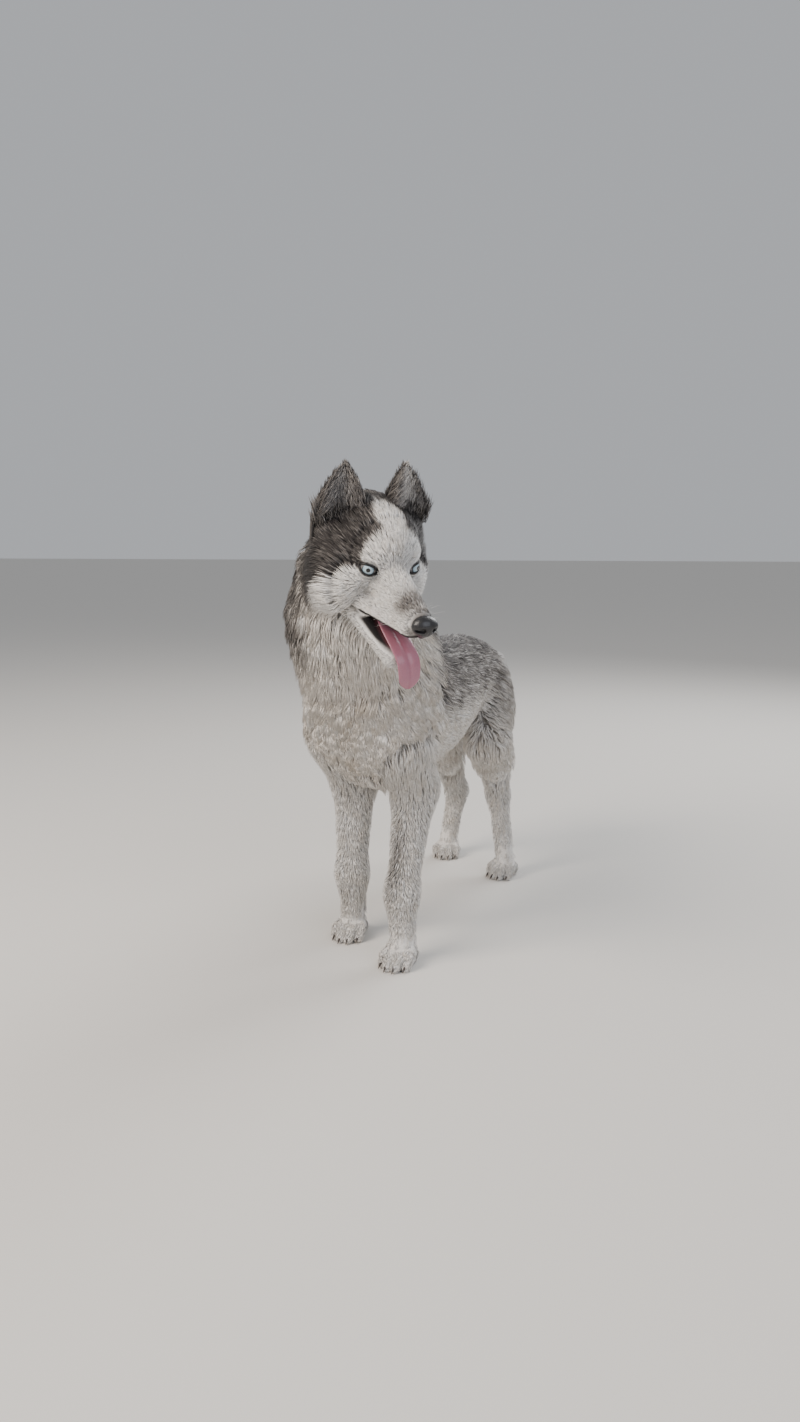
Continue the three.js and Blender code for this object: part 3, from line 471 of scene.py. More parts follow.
def slopeOf(form, p, step=0.7):
    # the value of a form and its outward direction
    value = form(p)
    slope = np.empty_like(p)
    for i in range(3):
        ahead = p.copy()
        ahead[i] += step
        slope[i] = form(ahead) - value
    return value, unit(slope)


# A closed surface where a form is zero, on a grid whose lines may lie closer in places
blockLines = 4
pointsAtOnce = 300000


def valuesOn(form, lines):
    coarse = [axis[::blockLines] for axis in lines]
    rough = form(np.stack(np.meshgrid(*coarse, indexing="ij")).reshape(3, -1).astype(np.float32))
    rough = rough.reshape([len(axis) for axis in coarse])
    for i in range(3):
        rough = np.repeat(rough, blockLines, axis=i)
    rough = rough[: len(lines[0]), : len(lines[1]), : len(lines[2])]
    steps = [np.gradient(axis).astype(np.float32) * blockLines for axis in lines]
    reach = np.sqrt(steps[0][:, None, None] ** 2 + steps[1][None, :, None] ** 2 + steps[2][None, None, :] ** 2)
    ids = np.flatnonzero(np.abs(rough) < reach)
    values = rough.ravel().copy()
    for start in range(0, len(ids), pointsAtOnce):
        some = ids[start : start + pointsAtOnce]
        i, j, k = np.unravel_index(some, rough.shape)
        values[some] = form(np.stack([lines[0][i], lines[1][j], lines[2][k]]).astype(np.float32))
    return values.reshape(rough.shape)


def surfaceOf(form, lines, settle=2):
    values = valuesOn(form, lines)
    shape = values.shape
    inside = values < 0
    cellIds, crossings, rings, flips = [], [], [], []
    for axis in range(3):
        low = [slice(None)] * 3
        high = [slice(None)] * 3
        low[axis] = slice(0, -1)
        high[axis] = slice(1, None)
        at = np.array(np.nonzero(inside[tuple(low)] != inside[tuple(high)]))
        after = at.copy()
        after[axis] += 1
        first, second = values[tuple(at)], values[tuple(after)]
        share = first / (first - second)
        place = np.stack([lines[i][at[i]] for i in range(3)])
        place[axis] += share * (lines[axis][after[axis]] - lines[axis][at[axis]])
        u, w = (axis + 1) % 3, (axis + 2) % 3
        ring = []
        for du, dw in ((0, 0), (1, 0), (1, 1), (0, 1)):
            cell = at.copy()
            cell[u] -= du
            cell[w] -= dw
            ring.append(np.ravel_multi_index(cell, shape))
            crossings.append(place)
        cellIds.append(np.concatenate(ring))
        rings.append(np.stack(ring, axis=1))
        flips.append(first >= 0)
    allIds, allPlaces = np.concatenate(cellIds), np.concatenate(crossings, axis=1)
    cells, owner = np.unique(allIds, return_inverse=True)
    counts = np.bincount(owner)
    points = np.stack([np.bincount(owner, weights=allPlaces[i]) / counts for i in range(3)]).astype(np.float32)
    faces = np.searchsorted(cells, np.concatenate(rings))
    flip = np.concatenate(flips)
    faces[flip] = faces[flip][:, ::-1]
    for _ in range(settle):
        value, out = slopeOf(form, points)
        points -= out * np.clip(value, -1.2, 1.2)
    return points, faces


def evenLines(low, high, step):
    return np.arange(low, high, step, dtype=float)


# Materials
def linear(hexColour):
    channels = [int(hexColour[i : i + 2], 16) / 255 for i in (1, 3, 5)]
    return tuple(c / 12.92 if c <= 0.04045 else ((c + 0.055) / 1.055) ** 2.4 for c in channels)


def addNode(material, kind, settings=None, links=None):
    # links: input name to another node's output
    tree = material.node_tree
    node = tree.nodes.new(kind)
    for name, value in (settings or {}).items():
        if name in node.inputs:
            node.inputs[name].default_value = value
        else:
            setattr(node, name, value)
    for name, output in (links or {}).items():
        tree.links.new(output, node.inputs[name])
    return node


def newMaterial(name, settings):
    material = bpy.data.materials.new(name)
    material.use_nodes = True
    material.node_tree.nodes.clear()
    surface = addNode(material, "ShaderNodeBsdfPrincipled", settings)
    addNode(material, "ShaderNodeOutputMaterial", links={"Surface": surface.outputs["BSDF"]})
    return material, surface


def colourFromMesh(material, surface, patternSize, unevenness):
    # the mesh's own colours, broken up by a noise of a real size in millimetres
    colour = addNode(material, "ShaderNodeVertexColor", {"layer_name": "colour"})
    place = addNode(material, "ShaderNodeTexCoord")
    noise = addNode(
        material,
        "ShaderNodeTexNoise",
        {"Scale": 1000 / patternSize, "Detail": 3.0, "Roughness": 0.6},
        {"Vector": place.outputs["Object"]},
    )
    tone = addNode(
        material,
        "ShaderNodeMapRange",
        {"From Min": 0.25, "From Max": 0.75, "To Min": 1 - unevenness, "To Max": 1 + unevenness * 0.4},
        {"Value": noise.outputs["Fac"]},
    )
    mixed = addNode(material, "ShaderNodeVectorMath", {"operation": "SCALE"}, {"Scale": tone.outputs["Result"]})
    material.node_tree.links.new(colour.outputs["Color"], mixed.inputs[0])
    material.node_tree.links.new(mixed.outputs["Vector"], surface.inputs["Base Color"])
    return noise


def painted(surface, hexColour):
    surface.inputs["Base Color"].default_value = (*linear(hexColour), 1)


def bumped(material, surface, noise, depth):
    settings = {"Distance": depth / 1000, "Strength": 0.6}
    bump = addNode(material, "ShaderNodeBump", settings, {"Height": noise.outputs["Fac"]})
    material.node_tree.links.new(bump.outputs["Normal"], surface.inputs["Normal"])


# Guard hair over undercoat: keratin, dry and matt with a faint silky shine along the tufts
hair, hairSurface = newMaterial("guard_hair", {"Roughness": 0.62, "IOR": 1.55, "Specular IOR Level": 0.35})
colourFromMesh(hair, hairSurface, patternSize=5, unevenness=0.22)
# Short hair lying flat on the hide: the same colours with a fine nap, seen between the tufts
nap, napSurface = newMaterial("short_nap_over_hide", {"Roughness": 0.75, "IOR": 1.45, "Specular IOR Level": 0.25})
bumped(nap, napSurface, colourFromMesh(nap, napSurface, patternSize=2.5, unevenness=0.3), depth=1.2)
# Nose leather: black, pebbled skin that stays damp
leather, leatherSurface = newMaterial("nose_leather", {"Roughness": 0.34, "IOR": 1.45, "Coat Weight": 0.35})
painted(leatherSurface, "#1b1a1c")
leatherPlace = addNode(leather, "ShaderNodeTexCoord").outputs["Object"]
pebbles = addNode(leather, "ShaderNodeTexVoronoi", {"Scale": 1000 / 1.3}, {"Vector": leatherPlace})
pebbleDepth = {"Distance": 0.0004, "Strength": 0.7, "invert": True}
pebbleBump = addNode(leather, "ShaderNodeBump", pebbleDepth, {"Height": pebbles.outputs["Distance"]})
leather.node_tree.links.new(pebbleBump.outputs["Normal"], leatherSurface.inputs["Normal"])
# Tongue: soft wet flesh, light scattering a few millimetres in
wetFlesh, wetSurface = newMaterial(
    "wet_tongue", {"Roughness": 0.3, "IOR": 1.4, "Subsurface Weight": 0.25, "Coat Weight": 0.3}
)
wetSurface.inputs["Subsurface Radius"].default_value = (0.004, 0.0015, 0.001)
wetSurface.inputs["Subsurface Scale"].default_value = 1.0
papillae = colourFromMesh(wetFlesh, wetSurface, patternSize=1.6, unevenness=0.12)
bumped(wetFlesh, wetSurface, papillae, depth=0.35)
# Eye: the clear wet cornea lies over the iris, so the colour shows under a sharp gloss
cornea, corneaSurface = newMaterial(
    "wet_eye", {"Roughness": 0.06, "IOR": 1.38, "Coat Weight": 0.6, "Coat Roughness": 0.02}
)
colourFromMesh(cornea, corneaSurface, patternSize=0.8, unevenness=0.12)
# Lid rims: black hairless skin, slightly greasy
rimSkin, rimSurface = newMaterial("black_lid_rim", {"Roughness": 0.4, "IOR": 1.45})
painted(rimSurface, "#141315")
# Claw horn: dark keratin worn smooth
horn, hornSurface = newMaterial("claw_horn", {"Roughness": 0.45, "IOR": 1.54})
painted(hornSurface, "#3d3531")
# Studio floor: matt painted board
board, boardSurface = newMaterial("matt_floor_board", {"Roughness": 0.9, "IOR": 1.45})
painted(boardSurface, "#d6d3ce")
print("materials made")


def newMesh(name, points, faces, material, colours=None, bake=None):
    # points in the dog's millimetres, three rows, become metres in the frame
    places = ((points.T + shift) / 1000).astype(np.float32)
    corners = faces.shape[1]
    mesh = bpy.data.meshes.new(name)
    mesh.vertices.add(len(places))
    mesh.vertices.foreach_set("co", places.ravel())
    mesh.loops.add(faces.size)
    mesh.loops.foreach_set("vertex_index", faces.astype(np.int32).ravel())
    mesh.polygons.add(len(faces))
    mesh.polygons.foreach_set("loop_start", np.arange(0, faces.size, corners, dtype=np.int32))
    mesh.polygons.foreach_set("use_smooth", np.ones(len(faces), dtype=bool))
    mesh.update(calc_edges=True)
    if colours is not None:
        layer = mesh.color_attributes.new("colour", "FLOAT_COLOR", "POINT")
        rgba = np.ones((len(places), 4), dtype=np.float32)
        rgba[:, :3] = colours.T
        layer.data.foreach_set("color", rgba.ravel())
    if bake is not None:
        layer = mesh.uv_layers.new(name="OFBake")
        layer.data.foreach_set("uv", bake.astype(np.float32).ravel())
    mesh.materials.append(material)
    piece = bpy.data.objects.new(name, mesh)
    bpy.context.collection.objects.link(piece)
    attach(piece, "root")
    return piece


# Markings, as functions of place. Tone runs from white at 0 through grey at 0.5 to near black at 1.
furColours = {"white": "#f3f1ee", "cream": "#dccdb9", "grey": "#8f8a86", "dark": "#2f2b2b"}
lipColours = {"edge": "#1a1718", "inner": "#6a4147", "lid": "#161416"}
# On the head the blaze widens over the brows and ends in a point. The cap comes down to just above the eyes, falls
# back and outward along the cheek, and runs down behind it.
blaze = {"y": [-4, 4, 18, 34, 50], "halfWidth": [9, 12.5, 14.5, 9, 0]}
cap = {"low": 4, "high": 10, "fallBack": 0.9, "fallOut": 0.7, "outFrom": 33, "backTo": 44, "fade": 0.2}
headTones = {"cap": 0.92, "brow": 0.4, "smudge": 0.55, "nose": 0.45, "underEye": 0.12, "side": 0.08}
# On the body a dark cape lies over the back, its edge higher at the shoulders and the rump
cape = {"edge": 402, "shoulderRise": 70, "rumpRise": 22, "unevenness": 22, "below": 42, "above": 34}
capeTones = {"side": 0.58, "ridge": 0.24}
napeTones = {"base": 0.7, "streaks": 0.24, "fade": 0.22}
toneReach = 9


def wobble(p, size):
    x, y, z = p[0] / size, p[1] / size, p[2] / size
    first = np.sin(x + 1.7 * np.sin(y * 0.9 + 0.4)) + np.sin(y * 1.1 + 1.9 * np.sin(z * 0.8 + 2.1))
    return (first + np.sin(z * 1.2 + 1.5 * np.sin(x * 1.3 + 4.2))) / 3


def closeness(parts, reach):
    # how much each region owns a point
    distances = np.stack([parts[name] for name in regionNames])
    weights = np.exp(-(distances - distances.min(axis=0)) / reach)
    return dict(zip(regionNames, weights / weights.sum(axis=0)))


def neckSide(p):
    # 1 on the back of the neck and -1 at the throat
    start, end = array(neck["nape"]), array(neck["base"])
    axis = (end - start) / np.linalg.norm(end - start)
    offset = p - start[:, None]
    along = axis @ offset
    outward = unit(offset - axis[:, None] * along)
    share = along / np.linalg.norm(end - start)
    # the hide turns with the head, so its back lies behind the skull at the top and over the withers below
    behindSkull = headFrame[:3, :3] @ (0, 1, 0.3)
    twist = smoothStep(0.15, 1.0, share)
    dorsal = unit(behindSkull[:, None] * (1 - twist) + np.array([[0], [0.8], [0.6]]) * twist)
    dorsal = unit(dorsal - axis[:, None] * (axis @ dorsal))
    return (dorsal * outward).sum(axis=0), share


def headTone(q):
    x, y, z = np.abs(q[0]), q[1], q[2]
    noise = wobble(q, 6) * 2.5
    blazeEdge = np.interp(y, blaze["y"], blaze["halfWidth"])
    above = smoothStep(-3, 3.5, x - blazeEdge + noise) * smoothStep(-1, 6, y)
    height = z + cap["fallBack"] * np.maximum(y - 3, 0) + cap["fallOut"] * np.maximum(x - cap["outFrom"], 0)
    above = above * smoothStep(cap["low"], cap["high"], height + noise * 0.8)
    behind = smoothStep(-8, 7, y - (cap["backTo"] + 0.3 * np.maximum(8 - z, 0)) + noise * 1.8)
    crown = smoothStep(40, 54, y + noise) * smoothStep(-10, 10, z)
    capShare = np.maximum(np.maximum(above, behind), crown)
    brow = np.exp(-(((x - 9) / 4.5) ** 2 + ((y - 6) / 8) ** 2 + ((z - 19) / 8) ** 2)) * headTones["brow"]
    smudge = np.exp(-(((y + 66) / 15) ** 2)) * smoothStep(-31, -17, z + noise * 0.5) * headTones["smudge"]
    nearNose = smoothStep(-76, -84, y) * headTones["nose"]
    underEye = np.exp(-(((x - 23) / 8) ** 2 + ((z + 11) / 3) ** 2)) * headTones["underEye"] * smoothStep(14, 0, y)
    side = smoothStep(8, 34, y) * smoothStep(20, 40, x) * (headTones["side"] + 0.05 * wobble(q, 4))
    capTone = headTones["cap"] - cap["fade"] * behind * smoothStep(0, -40, z)
    return np.clip(capShare * capTone + brow + smudge + nearNose + underEye + side, 0, 1)


mouth = {"level": -56, "slope": 0.047, "corner": 9, "opening": 0.165, "halfWidth": 30, "front": -100}


def mouthGap(q):
    # the height of the middle of the open mouth, and half its opening there
    return mouth["level"] + mouth["slope"] * q[1], np.maximum(mouth["corner"] - q[1], 0) * mouth["opening"]


def mouthShare(q, out):
    # 1 inside the mouth and on the lips, out being the outward direction in the head's frame
    level, halfGap = mouthGap(q)
    towards = np.where(q[2] > level, -out[2], out[2])
    near = smoothStep(12, 7, np.abs(q[2] - level) - halfGap)
    near = near * smoothStep(18, 8, q[1]) * smoothStep(36, 28, np.abs(q[0]))
    return near * smoothStep(0.3, 0.62, towards), towards


def isBlocked(p):
    # where no hair may reach: the open mouth, between the lids and on the nose
    q = placed(toHead, p)
    level, halfGap = mouthGap(q)
    blocked = (np.abs(q[2] - level) < halfGap) & (np.abs(q[0]) < mouth["halfWidth"])
    blocked &= (q[1] < mouth["corner"] - 1) & (q[1] > mouth["front"])
    for s in (1, -1):
        blocked |= (lidOpening(q, s) < 0.3) & (q[1] < 16)
    return blocked | (egg(q, nose["place"], nose["radii"], grow=-0.5) < 0)


def tones(p, parts):
    owns = closeness(parts, toneReach)
    noise = wobble(p, 17) * 0.6 + wobble(p, 7) * 0.4
    x, y, z = p
    edge = cape["edge"] + cape["shoulderRise"] * smoothStep(-190, -290, y)
    edge = edge + cape["rumpRise"] * smoothStep(60, 200, y) + noise * cape["unevenness"]
    ridge = capeTones["side"] + capeTones["ridge"] * smoothStep(440, 495, z)
    back = smoothStep(edge - cape["below"], edge + cape["above"], z) * ridge
    dorsal, down = neckSide(p)
    streaks = 0.5 + 0.5 * wobble(p * np.array([[1.0], [1.0], [0.35]]), 6)
    streaked = napeTones["base"] + napeTones["streaks"] * streaks - napeTones["fade"] * smoothStep(0.5, 1.1, down)
    nape = smoothStep(-0.42, 0.35, dorsal + noise * 0.3) * streaked
    thigh = smoothStep(270, 400, z) * 0.36 + noise * 0.08
    # a grey streak down the inside of the left foreleg
    streak = np.exp(-(((x - 50) / 11) ** 2)) * smoothStep(90, 150, z) * smoothStep(270, 200, z)
    streak = streak * smoothStep(-250, -275, y) * 0.4
    tailTop = smoothStep(-10, 26, y - np.interp(z, [200, 350, 400], [356, 346, 300])) * 0.45 + 0.22
    tone = owns["trunk"] * back + owns["neck"] * nape + owns["thighs"] * thigh + owns["forelegs"] * streak
    tone = tone + owns["head"] * headTone(placed(toHead, p)) + owns["tail"] * tailTop
    tone = tone + owns["chest"] * (0.05 + 0.09 * noise)
    cream = owns["chest"] * (0.45 + 0.3 * noise) + owns["neck"] * 0.35 + owns["thighs"] * 0.35
    cream = cream + owns["paws"] * (0.2 + 0.2 * noise)
    cream = cream + owns["shanks"] * 0.2 + owns["forelegs"] * 0.14 + owns["trunk"] * 0.3
    return np.clip(tone, 0, 1), np.clip(cream, 0, 1)


def columnOf(hexColour):
    return array(linear(hexColour))[:, None]


def furColour(tone, cream):
    white, creamy, grey, dark = [columnOf(furColours[name]) for name in ("white", "cream", "grey", "dark")]
    pale = white + (creamy - white) * cream
    return np.where(tone < 0.5, pale + (grey - pale) * tone * 2, grey + (dark - grey) * (tone * 2 - 1))


# The skin
skinLines = [
    np.concatenate([evenLines(-128, -44, 5), evenLines(-44, 198, 2)]),
    np.concatenate([evenLines(-512, -296, 2), evenLines(-296, 400, 5)]),
    np.concatenate([evenLines(-6, 54, 2.4), evenLines(54, 448, 5), evenLines(448, 730, 2)]),
]
skinPoints, skinFaces = surfaceOf(flesh, skinLines)
print("skin", skinPoints.shape[1], "points")

skinParts = bodyParts(skinPoints, 0)
_, skinOut = slopeOf(flesh, skinPoints)
skinHead = placed(toHead, skinPoints)
skinLips, skinFacing = mouthShare(skinHead, turnedOnly(toHead, skinOut))
skinTone, skinCream = tones(skinPoints, skinParts)
skinShade = 0.86
skinColours = furColour(skinTone, skinCream) * skinShade
lipColour = columnOf(lipColours["edge"])
innerShare = smoothStep(0.8, 0.97, skinFacing) * smoothStep(17, 9, np.abs(skinHead[0]))
lipColour = lipColour + (columnOf(lipColours["inner"]) - lipColour) * innerShare
skinColours = skinColours + (lipColour - skinColours) * skinLips
for s in (1, -1):
    rim = smoothStep(2.6, 0.8, lidOpening(skinHead, s)) * (skinHead[1] < 16)
    skinColours = skinColours + (columnOf(lipColours["lid"]) - skinColours) * rim
skin = newMesh("skin", skinPoints, skinFaces, nap, skinColours)
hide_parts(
    "torso",
    "neck",
    "tail",
    "head",
    "lower_jaw",
    *[f"{part}_{side}" for part in ("foreleg", "thigh", "shank", "forepaw", "hindpaw") for side in sideOf],
)


# Which way the coat lies, as a direction at each point
lieReach = 10


def lieAt(p, parts, out):
    owns = closeness(parts, lieReach)
    count = p.shape[1]
    ones = np.ones(count)

    def steady(x, y, z):
        return np.repeat(np.array([[x], [y], [z]], dtype=float), count, axis=1)

    q = placed(toHead, p)
    dorsal, _ = neckSide(p)
    neckward = steady(0, 0.5, -1) + np.stack([np.sign(p[0]) * 0.1, 0.35 * dorsal, 0.15 * dorsal])
    sideways = np.sign(q[0]) * smoothStep(4, 30, np.abs(q[0]))
    cheeky = smoothStep(14, 46, q[1]) * smoothStep(16, -10, q[2])
    rising = 0.35 - 1.0 * cheeky - 0.3 * smoothStep(0, -30, q[2])
    backward = np.stack([sideways * (0.3 + 0.25 * cheeky), ones, rising])
    path = array(tail["path"])
    tailBend = np.interp(-p[2], -path[:, 2], np.gradient(path[:, 1])) / 60
    flows = {
        "trunk": steady(0, 1, -0.42),
        "chest": np.stack([0.12 * np.sin(p[0] / 31 + p[2] / 23), 0.2 * ones, -ones]),
        "forelegs": steady(0, 0.1, -1),
        "thighs": steady(0, 0.5, -0.9),
        "shanks": steady(0, 0.15, -1),
        "neck": neckward,
        "tail": np.stack([0.12 * np.sign(p[0]), tailBend, -ones]),
        "head": turnedOnly(headFrame, backward),
        "jaw": turnedOnly(headFrame, np.stack([sideways * 0.2, ones, -0.5 * ones])),
        "paws": steady(0, -0.75, -0.6),
    }
    lie = sum(owns[name] * unit(flows[name]) for name in regionNames)
    return unit(lie - out * (lie * out).sum(axis=0))


# Fur. Each tuft is a thin closed blade of three sides, sunk at its root, that bends along the lie and tapers away.
tuftSides = 3
bakePatch = 0.003


def tuftPattern(rings):
    # triangles of one tuft, and where each corner lies on its patch of the bake map
    faces, patch = [], []
    for ring in range(rings - 1):
        for i in range(tuftSides):
            a, b = ring * tuftSides + i, ring * tuftSides + (i + 1) % tuftSides
            c, d = a + tuftSides, b + tuftSides
            left, right, low, high = i / tuftSides, (i + 1) / tuftSides, ring / rings, (ring + 1) / rings
            faces += [(a, d, b), (a, c, d)]
            patch += [(left, low), (right, high), (right, low), (left, low), (left, high), (right, high)]
    tip = rings * tuftSides
    for i in range(tuftSides):
        base = (rings - 1) * tuftSides
        faces.append((base + (i + 1) % tuftSides, base + i, tip))
        patch += [((i + 1) / tuftSides, 1 - 1 / rings), (i / tuftSides, 1 - 1 / rings), (0.5, 1)]
    faces.append((0, 1, 2))
    patch += [(0.15, 0.1), (0.3, 0), (0, 0)]
    return np.array(faces), np.array(patch)


def bladesFrom(guides, outs, widths, flatness):
    # guides: one row of points for each ring and the tip, each of three rows and one column a tuft
    rings = len(guides) - 1
    count = guides[0].shape[1]
    profile = np.interp(np.arange(rings) / rings, [0, 0.35, 0.75, 1], [0.8, 1.0, 0.62, 0.1])
    rows = []
    for k in range(rings):
        ahead = unit(guides[k + 1] - guides[max(k - 1, 0)])
        side = unit(np.cross(ahead.T, outs[k].T).T)
        up = np.cross(side.T, ahead.T).T
        half = widths * profile[k] / 2
        rows += [guides[k] + side * half, guides[k] + up * half * flatness, guides[k] - side * half]
    rows.append(guides[-1])
    return np.stack(rows, axis=0).transpose(2, 0, 1).reshape(count * (rings * tuftSides + 1), 3).T


def tuftMesh(name, slot, rings, blades, colours, islands):
    # islands: where each tuft's root lies on the bake map
    pattern, patch = tuftPattern(rings)
    count = islands.shape[1]
    faces = (np.arange(count) * (rings * tuftSides + 1))[:, None, None] + pattern[None]
    bake = islands.T[:, None, :] + (patch[None] - 0.5) * bakePatch
    newMesh(name, blades, faces.reshape(-1, 3), hair, colours, bake.reshape(-1, 2))
    print(name, len(pattern) * count, "triangles")


def pickRoots(points, faces, weights, count):
    # even random places over a mesh, weighted by area and by how thick the coat grows
    corners = [points[:, faces[:, i]] for i in range(4)]
    triangles = [(0, 1, 2), (0, 2, 3)]
    areas = []
    for a, b, c in triangles:
        normal = np.cross((corners[b] - corners[a]).T, (corners[c] - corners[a]).T)
        areas.append(np.sqrt((normal**2).sum(axis=1)))
    total = np.cumsum(np.concatenate(areas) * np.tile(weights[faces].min(axis=1), len(triangles)))
    picks = (np.arange(count) + random.random(count)) / count * total[-1]
    chosen = np.minimum(np.searchsorted(total, picks), len(total) - 1)
    half, face = chosen // len(faces), chosen % len(faces)
    u, v = random.random(count), random.random(count)
    over = u + v > 1
    u[over], v[over] = 1 - u[over], 1 - v[over]
    roots = np.empty((3, count))
    for i, (a, b, c) in enumerate(triangles):
        mine = half == i
        first, second, third = [corners[corner][:, face[mine]] for corner in (a, b, c)]
        roots[:, mine] = first + (second - first) * u[mine] + (third - first) * v[mine]
    return roots, faces[face, 0]


def clumpsOf(roots, spacing, area):
    # the tuft that each tuft leans towards
    count = max(int(area / spacing**2), 8)
    chosen = random.choice(roots.shape[1], min(count, roots.shape[1]), replace=False)
    tree = kdtree.KDTree(len(chosen))
    for index, i in enumerate(chosen):
        tree.insert(Vector(roots[:, i]), index)
    tree.balance()
    return np.array([chosen[tree.find(Vector(root))[1]] for root in roots.T])


def unwrapped(roots, axes):
    # cylinders about each part's own axis, side by side on one map: nearest axis, angle round it, way along it
    best = np.full(roots.shape[1], np.inf)
    u, v = np.zeros(roots.shape[1]), np.zeros(roots.shape[1])
    for island, (start, end) in enumerate(axes):
        start, end = array(start), array(end)
        length = np.linalg.norm(end - start)
        axis = (end - start) / length
        offset = roots - start[:, None]
        along = axis @ offset
        radial = offset - axis[:, None] * along
        gap = np.sqrt((radial**2).sum(axis=0)) + np.maximum(np.abs(along / length - 0.5) - 0.5, 0) * length * 2
        first = unit(np.cross(axis, (0.31, 0.2, 0.93))[:, None])
        second = np.cross(axis, first[:, 0])[:, None]
        angle = np.arctan2((radial * second).sum(axis=0), (radial * first).sum(axis=0))
        mine = gap < best
        best[mine] = gap[mine]
        u[mine] = (island + 0.02 + 0.96 * (0.5 + angle[mine] / (2 * math.pi))) / len(axes)
        v[mine] = np.clip(along[mine] / length, -0.35, 1.35) / 1.8 + 0.24
    return np.stack([u, v])


# What a piece of the coat has unless its own look says otherwise. Tufts are least and most long, pull is how far
# they lean into clumps, and grizzle how much their tones differ where the coat is dark.
usualLook = {
    "least": 4,
    "most": 60,
    "fullness": 1,
    "swing": 0.16,
    "pull": 0.5,
    "wave": 0,
    # how dark a tuft is at its root: partly the greyer undercoat, partly painted shade deep in the coat
    "rootShade": 0.76,
    "grizzle": 0.13,
}
furDepths = (1.5, 34)
rootSink = 1.2


def growCoat(name, weights, look):
    # one piece of the coat from roots on the skin
    look = usualLook | look
    roots, _ = pickRoots(skinPoints, skinFaces, weights, look["count"])
    p = roots.astype(np.float32)
    value, out = slopeOf(flesh, p)
    p = p - out * value
    depth = np.clip(-furTips(p), *furDepths) * look["fullness"]
    length = (look["least"] + look["stretch"] * depth) * random.uniform(0.75, 1.2, depth.shape)
    length = np.minimum(length, look["most"])
    rings = look["rings"]
    heights = depth * random.uniform(0.72, 1.02, depth.shape)
    guides, outs = [p - out * rootSink], [out]
    startTone, startCream = tones(p, bodyParts(p, 0))
    swing = random.normal(0, look["swing"], p.shape)
    for k in range(1, rings + 1):
        t = k / rings
        lie = unit(lieAt(p, bodyParts(p, 0), out) + swing)
        p = (p + lie * (length / rings)).astype(np.float32)
        value, out = slopeOf(flesh, p)
        p = (p + out * (heights * (1 - (1 - t) ** 1.7) - value)).astype(np.float32)
        guides.append(p)
        outs.append(out)
    kept = ~np.logical_or.reduce([isBlocked(guide) for guide in guides[1:]])
    guides, outs = [guide[:, kept] for guide in guides], [out[:, kept] for out in outs]
    roots, startTone, startCream = roots[:, kept], startTone[kept], startCream[kept]
    count = roots.shape[1]
    centre = clumpsOf(roots, look["clump"], look["area"])
    phase = random.uniform(0, 2 * math.pi, count)[centre]
    lasting = look["pull"] * random.uniform(0.6, 1.15, count)
    shaped = []
    for k, (guide, out) in enumerate(zip(guides, outs)):
        t = k / rings
        side = unit(np.cross((guides[-1] - guides[0]).T, out.T).T)
        bent = guide + (guide[:, centre] - guide) * lasting * t**1.3
        shaped.append(bent + side * look["wave"] * t * np.sin(phase + 5 * t))
    blades = bladesFrom(shaped, outs, look["width"] * random.uniform(0.7, 1.25, count), flatness=0.7)
    blades[2] = np.maximum(blades[2], soleLevel)
    # each tuft is painted darker towards its root, partly the greyer undercoat and partly painted shade deep in the
    # coat, and a touch lighter than its marking at the tip
    rootUndercoatAndShade = np.linspace(look["rootShade"], 1.04, rings + 1)
    clumpTone = random.normal(0, 1, count)[centre]
    grizzle = look["grizzle"] * smoothStep(0.02, 0.5, startTone) + 0.02
    tone = np.clip(startTone + grizzle * (random.normal(0, 0.8, count) + 0.5 * clumpTone), 0, 1)
    colour = furColour(tone, np.clip(startCream + 0.1 * clumpTone, 0, 1)) * random.uniform(0.9, 1.06, count)
    shades = [colour * rootUndercoatAndShade[k] for k in range(rings) for _ in range(tuftSides)] + [colour * rootUndercoatAndShade[-1]]
    colours = np.stack(shades, axis=0).transpose(2, 0, 1).reshape(-1, 3).T
    tuftMesh(name, look["slot"], rings, blades, colours, unwrapped(roots, look["axes"]))


def inHead(x, y, z):
    return (headFrame @ (x, y, z, 1))[:3]


# Where each piece of the coat grows, from the region that owns each point of the skin. Where two regions meet, their
# tufts mix over a few millimetres.
regionBlend = 5
distances = np.stack([skinParts[name] for name in regionNames])
owner = np.argmin(distances + random.normal(0, regionBlend, distances.shape), axis=0)
owned = {name: owner == i for i, name in enumerate(regionNames)}
bare = skinLips > 0.12
noseReach = array(nose["radii"])[:, None] + 1
bare |= np.sqrt((((skinHead - array(nose["place"])[:, None]) / noseReach) ** 2).sum(axis=0)) < 1
for s in (1, -1):
    bare |= (lidOpening(skinHead, s) < 1.2) & (skinHead[1] < 18)
growing = np.where(bare | (skinPoints[2] < soleLevel + 1.5), 0.0, 1.0)
faceward = smoothStep(30, 4, skinHead[1])
faceDensity = 0.6
isHead = owned["head"] | owned["jaw"]
isFace = isHead & (skinHead[1] < 14)
isUpperBack = owned["trunk"] & (skinPoints[2] > 418)
legAxes = [(leg["elbow"], leg["foot"]) for leg in foreLegs.values()]
legAxes += [(leg["knee"], leg["foot"]) for leg in hindLegs.values()]
pawAxes = [(array(each["foot"]) + (0, -50, 20), array(each["foot"]) + (0, 40, 20)) for each in paws]
headAxes = [(inHead(0, -100, -30), inHead(0, 120, 0))]
neckAxes = [(neck["nape"], neck["base"])]
chestAxes = [((0, -262, 500), (0, -262, 320))]
trunkAxes = [((0, -330, 390), (0, 280, 400))]
tailAxes = [(tail["path"][0], tail["path"][2]), (tail["path"][2], tail["path"][4])]

